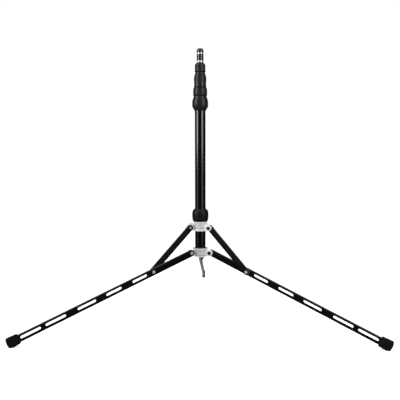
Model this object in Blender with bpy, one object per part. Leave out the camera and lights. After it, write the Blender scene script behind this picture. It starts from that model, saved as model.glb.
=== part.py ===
"""Reversible compact light stand: a five-section twist-lock column on three flat slotted legs.

The origin is the centre of the end plug's lower face, on the column's axis, with +Z up the column.
The legs stand 120 degrees apart, one of them along +Y. Every leg, strut and ear is a flat plate in a
vertical plane beside the radial one, so that legs and struts pass each other when the legs fold up
around the column.
"""
import math

import bmesh
import bpy
from mathutils import Matrix, Vector

MM = 0.001

# Column tubes, from the outer section to the spigot's
TUBE_DIAMETERS = [25.0 * MM, 21.6 * MM, 18.2 * MM, 14.8 * MM, 11.4 * MM]
TUBE_WALL = 1.0 * MM
FIRST_TUBE_BOTTOM = 1.6 * MM
TUBE_SEGMENTS = 24
BUSH_SEGMENTS = 16

# Gaps between pieces
FIT = 0.3 * MM
COLLAR_GAP = 0.4 * MM
TUBE_RUN = 0.4 * MM

# End plug
PLUG_FLANGE = 1.2 * MM
PLUG_DEPTH = 9.0 * MM
PLUG_WALL = 2.0 * MM

# Twist collars, largest at the bottom of the stack: bottom, height and outer profile as
# (share of the height, radius)
STACK_BOTTOM = 345.2 * MM
LOCK_COLLARS = [
    ("lock_collar_4", 33.5 * MM, [(0.0, 13.2 * MM), (0.06, 14.2 * MM), (0.18, 17.0 * MM),
                                  (0.30, 18.4 * MM), (0.50, 18.6 * MM), (0.70, 18.1 * MM),
                                  (0.80, 17.1 * MM), (0.90, 15.8 * MM), (1.0, 15.2 * MM)]),
    ("lock_collar_3", 18.4 * MM, [(0.0, 15.5 * MM), (0.08, 16.0 * MM), (0.45, 16.4 * MM),
                                  (0.75, 16.1 * MM), (0.95, 15.8 * MM), (1.0, 15.2 * MM)]),
    ("lock_collar_2", 36.4 * MM, [(0.0, 13.8 * MM), (0.03, 14.3 * MM), (0.18, 14.0 * MM),
                                  (0.35, 14.1 * MM), (0.58, 14.5 * MM), (0.70, 14.1 * MM),
                                  (0.84, 12.5 * MM), (0.92, 11.6 * MM), (1.0, 11.4 * MM)]),
    ("lock_collar_1", 18.6 * MM, [(0.0, 12.2 * MM), (0.05, 12.8 * MM), (0.12, 12.5 * MM),
                                  (0.50, 12.1 * MM), (0.92, 11.5 * MM), (1.0, 10.4 * MM)]),
]
COLLAR_SEGMENTS = 30
COLLAR_LOBES = 6
COLLAR_LOBE_DEPTH = 0.35 * MM
SLEEVE_WALL = 1.3 * MM
SLEEVE_SKIRT = 5.0 * MM
SLEEVE_HEAD = 7.5 * MM
SLEEVE_SLOT_WIDTH = 1.6 * MM
SLEEVE_SLOTS = 4
TUBE_END_BELOW_COLLAR_TOP = 9.4 * MM
COLLAR_LIP = 2.4 * MM
BUSH_FLANGE = 5.0 * MM
BUSH_INSERT = 7.0 * MM

# Spigot: 5/8 inch stud
SPIGOT_DIAMETER = 15.9 * MM
SPIGOT_HEIGHT = 34.2 * MM
SPIGOT_RIM_RADIUS = 8.8 * MM
SPIGOT_RIM_HEIGHT = 2.2 * MM
SPIGOT_GROOVE_DEPTH = 0.7 * MM
SPIGOT_LOW_GROOVE = 4.6 * MM
SPIGOT_HIGH_GROOVE = 3.4 * MM
SPIGOT_BODY_HEIGHT = 14.6 * MM
SPIGOT_CHAMFER = 2.0 * MM
SPIGOT_SOCKET_DEPTH = 12.0 * MM

# Fold geometry: hinge heights on the column, hinge radius and the legs' set angle
LEG_HINGE_Z = 11.1 * MM
SLIDER_HINGE_Z = 70.5 * MM
HINGE_RADIUS = 27.0 * MM
LEG_SLOPE = math.radians(19.9)
LEG_AZIMUTHS = [math.radians(90.0), math.radians(210.0), math.radians(330.0)]

# Legs
LEG_LENGTH = 433.0 * MM
LEG_HEIGHT = 15.5 * MM
LEG_THICKNESS = 6.0 * MM
LEG_PLANE = 5.3 * MM
LEG_JOINT = 103.0 * MM
LEG_EDGE = 0.7 * MM
CHANNEL_HEIGHT = 7.8 * MM
CHANNEL_DEPTH = 0.9 * MM
SLOT_HEIGHT = 6.2 * MM
# Slots' ends, as shares of the leg's length
SLOT_SHARES = [(0.2764, 0.3614), (0.4226, 0.5097), (0.5651, 0.6644), (0.7245, 0.8284), (0.8515, 0.9515)]

# Struts
STRUT_HEIGHT = 14.3 * MM
STRUT_THICKNESS = 5.0 * MM
STRUT_CHANNEL_HEIGHT = 7.4 * MM
PLATE_GAP = 0.4 * MM

# Foot caps
CAP_COVER = 18.4 * MM
CAP_NOSE = 5.5 * MM
CAP_START = LEG_LENGTH - CAP_COVER
CAP_END = LEG_LENGTH + CAP_NOSE
CAP_INNER_HEIGHT = 20.2 * MM
CAP_OUTER_HEIGHT = 22.6 * MM
CAP_THICKNESS = 9.0 * MM
CAP_BULGE = 1.6 * MM
CAP_PAD = 8.0 * MM
CAP_EDGE = 0.9 * MM

# Hubs, measured from their hinge height
HUB_RADIUS = 15.4 * MM
LOWER_HUB_BELOW = 10.9 * MM
LOWER_HUB_ABOVE = 9.9 * MM
LOWER_FLANGE_RADIUS = 18.4 * MM
LOWER_FLANGE = 1.8 * MM
LOWER_HUB_EASE = 2.2 * MM
SLIDER_HUB_BELOW = 8.0 * MM
SLIDER_HUB_ABOVE = 14.0 * MM
SLIDER_FLANGE_RADIUS = 17.2 * MM
SLIDER_FLANGE = 2.2 * MM
SLIDER_NECK_HEIGHT = 6.5 * MM
EAR_RADIUS = 7.0 * MM
BOSS_RADIUS = 3.4 * MM
BOSS_INWARD = 5.6 * MM
BOSS_ABOVE = 8.0 * MM
EAR_EDGE = 0.6 * MM
LOWER_EAR_THICKNESS = 6.0 * MM
SLIDER_EAR_THICKNESS = 5.0 * MM

# Slider collar, its outer profile as (share of the height, radius), and its collet
SLIDER_COLLAR_HEIGHT = 30.5 * MM
SLIDER_COLLAR_PROFILE = [(0.0, 16.4 * MM), (0.05, 17.4 * MM), (0.14, 18.3 * MM), (0.17, 18.5 * MM),
                         (0.42, 19.2 * MM), (0.72, 18.7 * MM), (0.84, 17.7 * MM),
                         (0.93, 14.8 * MM), (1.0, 13.5 * MM)]
COLLET_WALL = 1.8 * MM
COLLET_HEIGHT = 17.0 * MM
COLLET_SPLIT = 2.0 * MM

# Pivot hardware
PIN_RADIUS = 2.4 * MM
PIN_HEAD_RADIUS = 3.7 * MM
PIN_HEAD_HEIGHT = 1.2 * MM
FLUSH_HEAD_HEIGHT = 1.1 * MM
PIN_OVERHANG = 1.8 * MM
NUT_RADIUS = 4.2 * MM
NUT_HEIGHT = 3.6 * MM
PIN_SEGMENTS = 12
END_STEPS = 7

# Plate stations across the radial plane, positive on the leg's side
LEG_INNER_FACE = LEG_PLANE - LEG_THICKNESS / 2
LEG_OUTER_FACE = LEG_PLANE + LEG_THICKNESS / 2
STRUT_OUTER_FACE = LEG_INNER_FACE - PLATE_GAP
STRUT_INNER_FACE = STRUT_OUTER_FACE - STRUT_THICKNESS
LOWER_EAR_FACE = LEG_INNER_FACE - FIT
SLIDER_EAR_FACE = STRUT_INNER_FACE - FIT
PIN_HOLE_RADIUS = PIN_RADIUS + FIT

# Strut span worked out from the closed triangle of hinge, joint and slider
STRUT_RUN = LEG_JOINT * math.cos(LEG_SLOPE)
STRUT_DROP = SLIDER_HINGE_Z - LEG_HINGE_Z + LEG_JOINT * math.sin(LEG_SLOPE)
STRUT_LENGTH = math.hypot(STRUT_RUN, STRUT_DROP)
STRUT_SLOPE = math.atan2(STRUT_DROP, STRUT_RUN)

BLACK_ANODISED = ("black_anodised", (0.020, 0.020, 0.022), 0.26, 0.85)
SOFT_GRIP = ("soft_grip", (0.045, 0.045, 0.047), 0.55, 0.0)
BLACK_NYLON = ("black_nylon", (0.022, 0.022, 0.024), 0.45, 0.0)
LEG_BLACK = ("leg_black", (0.020, 0.020, 0.021), 0.42, 0.0)
CHROME = ("chrome", (0.75, 0.76, 0.78), 0.10, 1.0)
CAST_SILVER = ("cast_silver", (0.78, 0.78, 0.76), 0.32, 0.9)
RIVET_STEEL = ("rivet_steel", (0.66, 0.66, 0.67), 0.28, 1.0)
FOOT_RUBBER = ("foot_rubber", (0.018, 0.018, 0.019), 0.75, 0.0)
LOCK_PLASTIC = ("lock_plastic", (0.55, 0.55, 0.56), 0.5, 0.0)


def material(finish):
    """Return the Principled material of a finish: name, colour, roughness, metallic."""
    name, colour, roughness, metallic = finish
    made = bpy.data.materials.get(name)
    if made is None:
        made = bpy.data.materials.new(name)
        made.use_nodes = True
        shader = made.node_tree.nodes["Principled BSDF"]
        shader.inputs["Base Color"].default_value = (*colour, 1.0)
        shader.inputs["Roughness"].default_value = roughness
        shader.inputs["Metallic"].default_value = metallic
    return made


def add_object(name, mesh, finish=None, matrix=None, parent=None):
    """Link a mesh as a named object, placed by a world matrix and kept under its parent."""
    obj = bpy.data.objects.new(name, mesh)
    bpy.context.scene.collection.objects.link(obj)
    if finish is not None:
        mesh.materials.clear()
        mesh.materials.append(material(finish))
    if parent is not None:
        obj.parent = parent
        obj.matrix_parent_inverse = parent.matrix_world.inverted()
    if matrix is not None:
        obj.matrix_world = matrix
    return obj


def add_empty(name, matrix, parent=None):
    """Add an empty on a joint's axis."""
    empty = bpy.data.objects.new(name, None)
    bpy.context.scene.collection.objects.link(empty)
    empty.empty_display_size = 0.02
    if parent is not None:
        empty.parent = parent
        empty.matrix_parent_inverse = parent.matrix_world.inverted()
    empty.matrix_world = matrix
    bpy.context.view_layer.update()
    return empty


def smooth(mesh, degrees=32.0):
    """Shade round faces smooth and keep the sharp edges."""
    mesh.shade_smooth()
    mesh.set_sharp_from_angle(angle=math.radians(degrees))


def revolve(name, profile, segments, closed=True, lobes=0, lobe_depth=0.0):
    """Spin an (r, z) profile about Z. A closed profile makes a ring, an open one starts and ends on
    the axis. Lobes pull shallow grip flutes into the outermost radii."""
    mesh = bpy.data.meshes.new(name)
    work = bmesh.new()
    verts = [work.verts.new((radius, 0.0, z)) for radius, z in profile]
    edges = [work.edges.new(pair) for pair in zip(verts, verts[1:])]
    if closed:
        edges.append(work.edges.new((verts[-1], verts[0])))
    bmesh.ops.spin(work, geom=verts + edges, cent=(0, 0, 0), axis=(0, 0, 1), dvec=(0, 0, 0),
                   angle=2 * math.pi, steps=segments, use_merge=True)
    bmesh.ops.remove_doubles(work, verts=work.verts, dist=1e-6)
    if lobes:
        flute(work, profile, lobes, lobe_depth)
    bmesh.ops.recalc_face_normals(work, faces=work.faces)
    work.to_mesh(mesh)
    work.free()
    smooth(mesh)
    return mesh


def flute(work, profile, lobes, depth):
    """Pull the widest part of a collar inwards between its lobes, less where it is narrower."""
    widest = max(radius for radius, _ in profile)
    narrowest = min(radius for radius, _ in profile)
    for vert in work.verts:
        radius = math.hypot(vert.co.x, vert.co.y)
        share = max(0.0, (radius - narrowest) / (widest - narrowest) - 0.5) * 2
        wave = 0.5 - 0.5 * math.cos(lobes * math.atan2(vert.co.y, vert.co.x))
        pull = 1.0 - depth * share * wave / max(radius, MM)
        vert.co.x *= pull
        vert.co.y *= pull


def arc(centre, radius, start, end, steps):
    """Points on an arc in the plate's plane, angles in degrees."""
    points = []
    for index in range(steps + 1):
        angle = math.radians(start + (end - start) * index / steps)
        points.append((centre[0] + radius * math.cos(angle), centre[1] + radius * math.sin(angle)))
    return points


def stadium(start, end, radius, steps=4):
    """A slot's outline with round ends, its ends' tips at start and end."""
    return (arc((end - radius, 0.0), radius, -90, 90, steps)
            + arc((start + radius, 0.0), radius, 90, 270, steps))


def circle(centre, radius, steps=PIN_SEGMENTS):
    """A closed circle without its repeated last point."""
    return arc(centre, radius, 0, 360, steps)[:-1]


def plate(name, outline, holes, low, high, edge=0.0):
    """Extrude an outline with holes from low to high across its plane. Plate axes: X along the
    piece, Z up its height, -Y to +Y across its thickness; edge rounds the rims."""
    mesh = bpy.data.meshes.new(name)
    curve = bpy.data.curves.new(name + "_outline", "CURVE")
    curve.dimensions = "2D"
    curve.fill_mode = "BOTH"
    curve.extrude = (high - low) / 2 - edge
    curve.bevel_depth = edge
    curve.bevel_resolution = 0
    curve.offset = -edge
    for loop in [outline] + holes:
        spline = curve.splines.new("POLY")
        spline.points.add(len(loop) - 1)
        for point, (along, up) in zip(spline.points, loop):
            point.co = (along, up, 0.0, 1.0)
        spline.use_cyclic_u = True
    source = bpy.data.objects.new(name + "_outline", curve)
    bpy.context.scene.collection.objects.link(source)
    shaped = bpy.data.meshes.new_from_object(source.evaluated_get(bpy.context.evaluated_depsgraph_get()))
    work = bmesh.new()
    work.from_mesh(shaped)
    bmesh.ops.remove_doubles(work, verts=work.verts, dist=2e-6)
    across = Matrix.Translation((0, (low + high) / 2, 0)) @ Matrix.Rotation(math.radians(90), 4, "X")
    bmesh.ops.transform(work, matrix=across, verts=work.verts)
    bmesh.ops.recalc_face_normals(work, faces=work.faces)
    work.to_mesh(mesh)
    work.free()
    bpy.data.objects.remove(source)
    bpy.data.meshes.remove(shaped)
    smooth(mesh)
    return mesh


def boolean(obj, cutter_mesh, operation="DIFFERENCE", matrix=None):
    """Cut or join with a hidden mesh, by an exact Boolean modifier."""
    tool = add_object(f"{obj.name}_{operation.lower()}_{len(obj.modifiers)}", cutter_mesh)
    tool.matrix_world = matrix if matrix is not None else obj.matrix_world.copy()
    tool.hide_render = True
    tool.hide_viewport = False
    tool.display_type = "WIRE"
    modifier = obj.modifiers.new(tool.name, "BOOLEAN")
    modifier.operation = operation
    modifier.object = tool
    return tool


def joined(name, meshes):
    """One mesh that holds several separate closed shapes, for a cutter."""
    mesh = bpy.data.meshes.new(name)
    work = bmesh.new()
    for shape in meshes:
        work.from_mesh(shape)
    work.to_mesh(mesh)
    work.free()
    return mesh


def box(name, low, high):
    """A box between two corners."""
    mesh = bpy.data.meshes.new(name)
    work = bmesh.new()
    bmesh.ops.create_cube(work, size=1.0)
    size = Vector(high) - Vector(low)
    centre = (Vector(high) + Vector(low)) / 2
    bmesh.ops.transform(work, matrix=Matrix.Translation(centre) @ Matrix.Diagonal((*size, 1.0)),
                        verts=work.verts)
    work.to_mesh(mesh)
    work.free()
    return mesh


def radial_frame(azimuth, hinge_z, slope=0.0):
    """Frame of a plate: X outward and down the slope from its hinge, Y across towards the leg's
    side, Z up its height."""
    turn = Matrix.Rotation(azimuth, 4, "Z")
    hinge = Matrix.Translation((HINGE_RADIUS, 0, hinge_z))
    return turn @ hinge @ Matrix.Rotation(slope, 4, "Y")


def across_pin(mesh, along=0.0):
    """Lay a mesh that was spun about Z on a plate's cross axis, +Z to +Y, at a place along it."""
    mesh.transform(Matrix.Translation((along, 0, 0)) @ Matrix.Rotation(math.radians(-90), 4, "X"))
    return mesh


def collar_tops():
    """Bottom and top of each lock collar, from the largest to the smallest."""
    spans = []
    bottom = STACK_BOTTOM
    for _, height, _ in LOCK_COLLARS:
        spans.append((bottom, bottom + height))
        bottom += height + COLLAR_GAP
    return spans


def tube_mesh(index, bottom, top):
    """A plain tube of one section."""
    outer = TUBE_DIAMETERS[index] / 2
    inner = outer - TUBE_WALL
    return revolve(f"tube_{index}", [(outer, top), (outer, bottom), (inner, bottom), (inner, top)],
                   TUBE_SEGMENTS)


def build_column(root, sections):
    """The five tubes, the end plug and the bushes of the inner sections."""
    spans = collar_tops()
    tops = [top - TUBE_END_BELOW_COLLAR_TOP for _, top in spans]
    spigot_seat = spans[-1][1] + COLLAR_GAP
    tops.append(spigot_seat - FIT)
    bottom = FIRST_TUBE_BOTTOM
    add_object("main_tube", tube_mesh(0, bottom, tops[0]), BLACK_ANODISED, parent=root)
    bottom = PLUG_FLANGE + PLUG_DEPTH - BUSH_INSERT
    for index in range(1, len(TUBE_DIAMETERS)):
        bottom += BUSH_FLANGE + BUSH_INSERT + 2 * FIT
        add_object(f"tube_{index + 1}", tube_mesh(index, bottom, tops[index]), BLACK_ANODISED,
                   parent=sections[index])
        add_object(f"end_bush_{index + 1}", bush_mesh(index, bottom), LOCK_PLASTIC,
                   parent=sections[index])
    add_object("column_plug", plug_mesh(), BLACK_NYLON, parent=root)
    add_object("spigot", spigot_mesh(spigot_seat), CHROME, parent=sections[-1])


def bush_mesh(index, tube_bottom):
    """Guide ring under an inner tube's lower end, with a collar that plugs into the tube."""
    guide = TUBE_DIAMETERS[index - 1] / 2 - TUBE_WALL - FIT
    plugged = TUBE_DIAMETERS[index] / 2 - TUBE_WALL - FIT / 2
    bore = plugged - TUBE_WALL
    seat = tube_bottom - FIT / 2
    return revolve("bush", [(guide, seat), (guide, seat - BUSH_FLANGE), (bore, seat - BUSH_FLANGE),
                            (bore, seat + BUSH_INSERT), (plugged, seat + BUSH_INSERT),
                            (plugged, seat)], BUSH_SEGMENTS)


def plug_mesh():
    """Cup-shaped end plug: a flange under the main tube and a skirt inside it."""
    skirt = TUBE_DIAMETERS[0] / 2 - TUBE_WALL - FIT / 2
    flange = TUBE_DIAMETERS[0] / 2
    top = PLUG_FLANGE + PLUG_DEPTH
    return revolve("plug", [(0, PLUG_FLANGE + PLUG_WALL), (skirt - PLUG_WALL, PLUG_FLANGE + PLUG_WALL),
                            (skirt - PLUG_WALL, top), (skirt, top), (skirt, PLUG_FLANGE),
                            (flange, PLUG_FLANGE), (flange, PLUG_FLANGE / 3),
                            (flange - PLUG_FLANGE * 2 / 3, 0), (0, 0)], TUBE_SEGMENTS, closed=False)


def spigot_mesh(seat):
    """Stud with a rim over the collar, two shallow grooves and a chamfered tip; its lower end is a
    plug inside the smallest tube."""
    radius = SPIGOT_DIAMETER / 2
    groove = radius - SPIGOT_GROOVE_DEPTH
    plug = TUBE_DIAMETERS[-1] / 2 - TUBE_WALL - FIT / 2
    top = seat + SPIGOT_HEIGHT
    rim_top = seat + SPIGOT_RIM_HEIGHT
    body = rim_top + SPIGOT_LOW_GROOVE
    body_top = body + SPIGOT_BODY_HEIGHT
    tip = body_top + SPIGOT_HIGH_GROOVE
    ease = SPIGOT_GROOVE_DEPTH
    outline = [(0, top), (radius - SPIGOT_CHAMFER * 0.6, top), (radius - 0.2 * MM, top - SPIGOT_CHAMFER),
               (radius, top - SPIGOT_CHAMFER * 1.3), (radius, tip + ease), (groove, tip),
               (groove, body_top + ease), (radius, body_top), (radius, body), (groove, body - ease),
               (groove, rim_top + ease), (SPIGOT_RIM_RADIUS - ease, rim_top),
               (SPIGOT_RIM_RADIUS, rim_top - ease), (SPIGOT_RIM_RADIUS, seat), (plug, seat),
               (plug, seat - SPIGOT_SOCKET_DEPTH), (0, seat - SPIGOT_SOCKET_DEPTH)]
    return revolve("spigot", outline, TUBE_SEGMENTS, closed=False)


def build_locks(root, sections):
    """Each lock is a slotted sleeve on a tube's upper end inside a twist collar."""
    carriers = [root] + sections[1:]
    for index, ((name, height, profile), (bottom, top)) in enumerate(zip(LOCK_COLLARS, collar_tops())):
        twist = add_empty(name + "_twist", Matrix.Translation((0, 0, bottom)), carriers[index])
        tube = TUBE_DIAMETERS[index] / 2
        inner_tube = TUBE_DIAMETERS[index + 1] / 2
        tube_top = top - TUBE_END_BELOW_COLLAR_TOP
        sleeve = tube + FIT + SLEEVE_WALL
        cavity = sleeve + FIT
        sleeve_bottom = tube_top - SLEEVE_SKIRT
        sleeve_top = tube_top + SLEEVE_HEAD - FIT
        outer = [(radius, bottom + share * height) for share, radius in reversed(profile)]
        ledge = sleeve_bottom - COLLAR_GAP
        mouth = inner_tube + TUBE_RUN
        bore = [(tube + TUBE_RUN, bottom), (tube + TUBE_RUN, ledge), (cavity, ledge),
                (cavity, top - COLLAR_LIP - SLEEVE_WALL), (mouth + FIT, top - COLLAR_LIP + FIT),
                (mouth, top)]
        collar = revolve(name, outer + bore, COLLAR_SEGMENTS, lobes=COLLAR_LOBES,
                         lobe_depth=COLLAR_LOBE_DEPTH)
        add_object(name, collar, SOFT_GRIP, parent=twist)
        grip = inner_tube + FIT
        waist = sleeve_top - SLEEVE_WALL * 2
        sleeve_name = name.replace("collar", "sleeve")
        sleeve_mesh = revolve(sleeve_name, [(grip + FIT, sleeve_top), (sleeve, waist),
                                            (sleeve, sleeve_bottom), (tube + FIT / 2, sleeve_bottom),
                                            (tube + FIT / 2, tube_top + FIT), (grip, tube_top + FIT),
                                            (grip, sleeve_top)], TUBE_SEGMENTS)
        holder = add_object(sleeve_name, sleeve_mesh, LOCK_PLASTIC, parent=carriers[index])
        cut_fingers(holder, sleeve, tube_top + 2 * FIT + MM, sleeve_top + MM)


def cut_fingers(sleeve, radius, low, high):
    """Slots that part a sleeve's head into fingers."""
    bars = []
    for index in range(SLEEVE_SLOTS // 2):
        bar = box("slot", (-radius * 2, -SLEEVE_SLOT_WIDTH / 2, low),
                  (radius * 2, SLEEVE_SLOT_WIDTH / 2, high))
        bar.transform(Matrix.Rotation(math.pi * 2 * index / SLEEVE_SLOTS + math.radians(3.0), 4, "Z"))
        boolean(sleeve, bar)
        bars.append(bar)
    return bars


def ear_mesh(name, face, thickness):
    """A hub's ear: a flat plate with a round outer end about the hinge, reaching into the hub."""
    root = TUBE_DIAMETERS[0] / 2 + 1.2 * MM - HINGE_RADIUS
    outline = arc((0, 0), EAR_RADIUS, -90, 90, END_STEPS) + [(root, EAR_RADIUS), (root, -EAR_RADIUS)]
    return plate(name, outline, [], face - thickness, face, EAR_EDGE)


def boss_mesh(name, face, thickness):
    """A round boss that rises from an ear's upper edge beside the hub."""
    centre = (-BOSS_INWARD, BOSS_ABOVE)
    return plate(name, circle(centre, BOSS_RADIUS, 16), [], face - thickness, face, EAR_EDGE)


def hub(name, profile, hinge_z, ear_face, ear_thickness, parent, bosses=False):
    """A turned hub with three ears and their pin holes, and on the slider a boss over each ear."""
    body = add_object(name, revolve(name, profile, COLLAR_SEGMENTS), CAST_SILVER, parent=parent)
    for azimuth in LEG_AZIMUTHS:
        frame = radial_frame(azimuth, hinge_z)
        boolean(body, ear_mesh(name + "_ear", ear_face, ear_thickness), "UNION", frame)
        if bosses:
            boolean(body, boss_mesh(name + "_boss", ear_face - EAR_EDGE, ear_thickness - 2 * EAR_EDGE),
                    "UNION", frame)
    for azimuth in LEG_AZIMUTHS:
        drill = across_pin(revolve(name + "_hole", [(0, ear_face + MM), (PIN_HOLE_RADIUS, ear_face + MM),
                                                    (PIN_HOLE_RADIUS, ear_face - ear_thickness - MM),
                                                    (0, ear_face - ear_thickness - MM)],
                                   PIN_SEGMENTS, closed=False))
        boolean(body, drill, "DIFFERENCE", radial_frame(azimuth, hinge_z))
    return body


def build_hubs(root, slider):
    """The fixed lower hub and the sliding hub with its neck."""
    bore = TUBE_DIAMETERS[0] / 2 + FIT
    low = LEG_HINGE_Z - LOWER_HUB_BELOW
    high = LEG_HINGE_Z + LOWER_HUB_ABOVE
    flange_low = high - LOWER_FLANGE
    lower = [(bore, high), (LOWER_FLANGE_RADIUS - 0.4 * MM, high), (LOWER_FLANGE_RADIUS, high - 0.4 * MM),
             (LOWER_FLANGE_RADIUS, flange_low), (HUB_RADIUS, flange_low - 0.6 * MM),
             (HUB_RADIUS, low + LOWER_HUB_EASE), (HUB_RADIUS - 0.7 * MM, low + 0.7 * MM),
             (HUB_RADIUS - LOWER_HUB_EASE, low), (bore, low)]
    hub("lower_hub", lower, LEG_HINGE_Z, LOWER_EAR_FACE, LOWER_EAR_THICKNESS, root)
    run = TUBE_DIAMETERS[0] / 2 + TUBE_RUN
    low = SLIDER_HINGE_Z - SLIDER_HUB_BELOW
    high = SLIDER_HINGE_Z + SLIDER_HUB_ABOVE
    neck = run + COLLET_WALL
    upper = [(run, high + SLIDER_NECK_HEIGHT), (neck, high + SLIDER_NECK_HEIGHT), (neck, high),
             (HUB_RADIUS, high), (HUB_RADIUS + 0.6 * MM, high - 0.6 * MM),
             (HUB_RADIUS + 0.6 * MM, high - SLIDER_FLANGE), (HUB_RADIUS, high - SLIDER_FLANGE - 0.6 * MM),
             (HUB_RADIUS, low + SLIDER_FLANGE + 0.6 * MM), (SLIDER_FLANGE_RADIUS, low + SLIDER_FLANGE),
             (SLIDER_FLANGE_RADIUS, low + 0.6 * MM), (SLIDER_FLANGE_RADIUS - 0.6 * MM, low), (run, low)]
    hub("slider_hub", upper, SLIDER_HINGE_Z, SLIDER_EAR_FACE, SLIDER_EAR_THICKNESS, slider, bosses=True)


def build_slider_lock(slider):
    """The split collet over the slider's neck, inside its twist collar."""
    bottom = SLIDER_HINGE_Z + SLIDER_HUB_ABOVE + COLLAR_GAP
    top = bottom + SLIDER_COLLAR_HEIGHT
    run = TUBE_DIAMETERS[0] / 2 + TUBE_RUN
    neck = run + COLLET_WALL
    cavity = neck + FIT
    collet_low = SLIDER_HINGE_Z + SLIDER_HUB_ABOVE + SLIDER_NECK_HEIGHT + FIT
    collet_top = collet_low + COLLET_HEIGHT
    twist = add_empty("slider_collar_twist", Matrix.Translation((0, 0, bottom)), slider)
    outer = [(radius, bottom + share * SLIDER_COLLAR_HEIGHT)
             for share, radius in reversed(SLIDER_COLLAR_PROFILE)]
    bore = [(cavity, bottom), (cavity, collet_top - COLLET_WALL), (run + FIT + FIT, collet_top + FIT * 2),
            (run, collet_top + FIT * 3), (run, top)]
    collar = revolve("slider_collar", outer + bore, COLLAR_SEGMENTS, lobes=COLLAR_LOBES,
                     lobe_depth=COLLAR_LOBE_DEPTH)
    add_object("slider_collar", collar, SOFT_GRIP, parent=twist)
    collet_mesh = revolve("slider_collet", [(run + FIT, collet_top), (neck, collet_top - 2 * COLLET_WALL),
                                            (neck, collet_low), (run, collet_low), (run, collet_top)],
                          TUBE_SEGMENTS)
    collet = add_object("slider_collet", collet_mesh, LOCK_PLASTIC, parent=slider)
    split = box("split", (0, -COLLET_SPLIT / 2, collet_low - MM), (neck * 2, COLLET_SPLIT / 2, collet_top + MM))
    split.transform(Matrix.Rotation(math.radians(33.0), 4, "Z"))
    boolean(collet, split)


def bar_mesh(name, length, height, low, high, holes, square_end):
    """A flat bar with a round end about its hinge, and a square or a round far end."""
    half = height / 2
    outline = arc((0, 0), half, 90, 270, END_STEPS)
    if square_end:
        outline += [(length, -half), (length, half)]
    else:
        outline += arc((length, 0), half, -90, 90, END_STEPS)
    return plate(name, outline, holes, low, high, LEG_EDGE)


def channel_cutter(name, start, end, height, low, high):
    """Two shallow channels that leave rails along a bar's edges, one in each face."""
    outline = stadium(start, end, height / 2)
    return joined(name, [plate(name + "_a", outline, [], high - CHANNEL_DEPTH, high + MM),
                         plate(name + "_b", outline, [], low - MM, low + CHANNEL_DEPTH)])


def leg_mesh():
    """The leg's bar with its pin hole and the strut's rivet hole."""
    holes = [circle((0, 0), PIN_HOLE_RADIUS), circle((LEG_JOINT, 0), PIN_HOLE_RADIUS)]
    return bar_mesh("leg", LEG_LENGTH, LEG_HEIGHT, LEG_INNER_FACE, LEG_OUTER_FACE, holes, True)


def cap_mesh():
    """Foot cap in the leg's axes: it flares towards a bulged end, and its lower corner is cut to a
    flat pad that lies level when the legs are set."""
    inner = CAP_INNER_HEIGHT / 2
    outer = CAP_OUTER_HEIGHT / 2
    pad = Vector((math.cos(LEG_SLOPE), math.sin(LEG_SLOPE))) * CAP_PAD
    pad_start = Vector((CAP_END - pad.x, -outer))
    outline = [(CAP_START, -inner), tuple(pad_start), tuple(pad_start + pad)]
    rise_steps = 6
    start_up = pad_start.y + pad.y
    for index in range(1, rise_steps + 1):
        up = start_up + (outer - 1.2 * MM - start_up) * index / rise_steps
        bulge = CAP_BULGE * (1 - (2 * index / rise_steps - 1) ** 2)
        outline.append((CAP_END + bulge, up))
    outline += [(CAP_END - 1.4 * MM, outer), (CAP_START, inner)]
    half = CAP_THICKNESS / 2
    return plate("foot_cap", outline, [], LEG_PLANE - half, LEG_PLANE + half, CAP_EDGE)


def pin_mesh(name, head_low, head_height, tip):
    """A turned pin with a domed head above head_low and a shank down to its tip."""
    crown = head_low + head_height
    return across_pin(revolve(name, [(0, crown), (PIN_HEAD_RADIUS * 0.7, crown - head_height * 0.15),
                                     (PIN_HEAD_RADIUS, crown - head_height * 0.6),
                                     (PIN_HEAD_RADIUS, head_low), (PIN_RADIUS, head_low),
                                     (PIN_RADIUS, tip), (0, tip)], PIN_SEGMENTS, closed=False))


def nut_mesh(name, face, tip):
    """A domed cap nut that hides the pin's tip, seated against an ear's far face."""
    seat = face - FIT
    bore = PIN_RADIUS + FIT / 2
    crown = seat - NUT_HEIGHT
    return across_pin(revolve(name, [(0, tip - FIT), (bore, tip - FIT), (bore, seat), (NUT_RADIUS, seat),
                                     (NUT_RADIUS, crown + 0.9 * MM), (NUT_RADIUS - 0.7 * MM, crown + 0.2 * MM),
                                     (0, crown)], PIN_SEGMENTS, closed=False))


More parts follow.
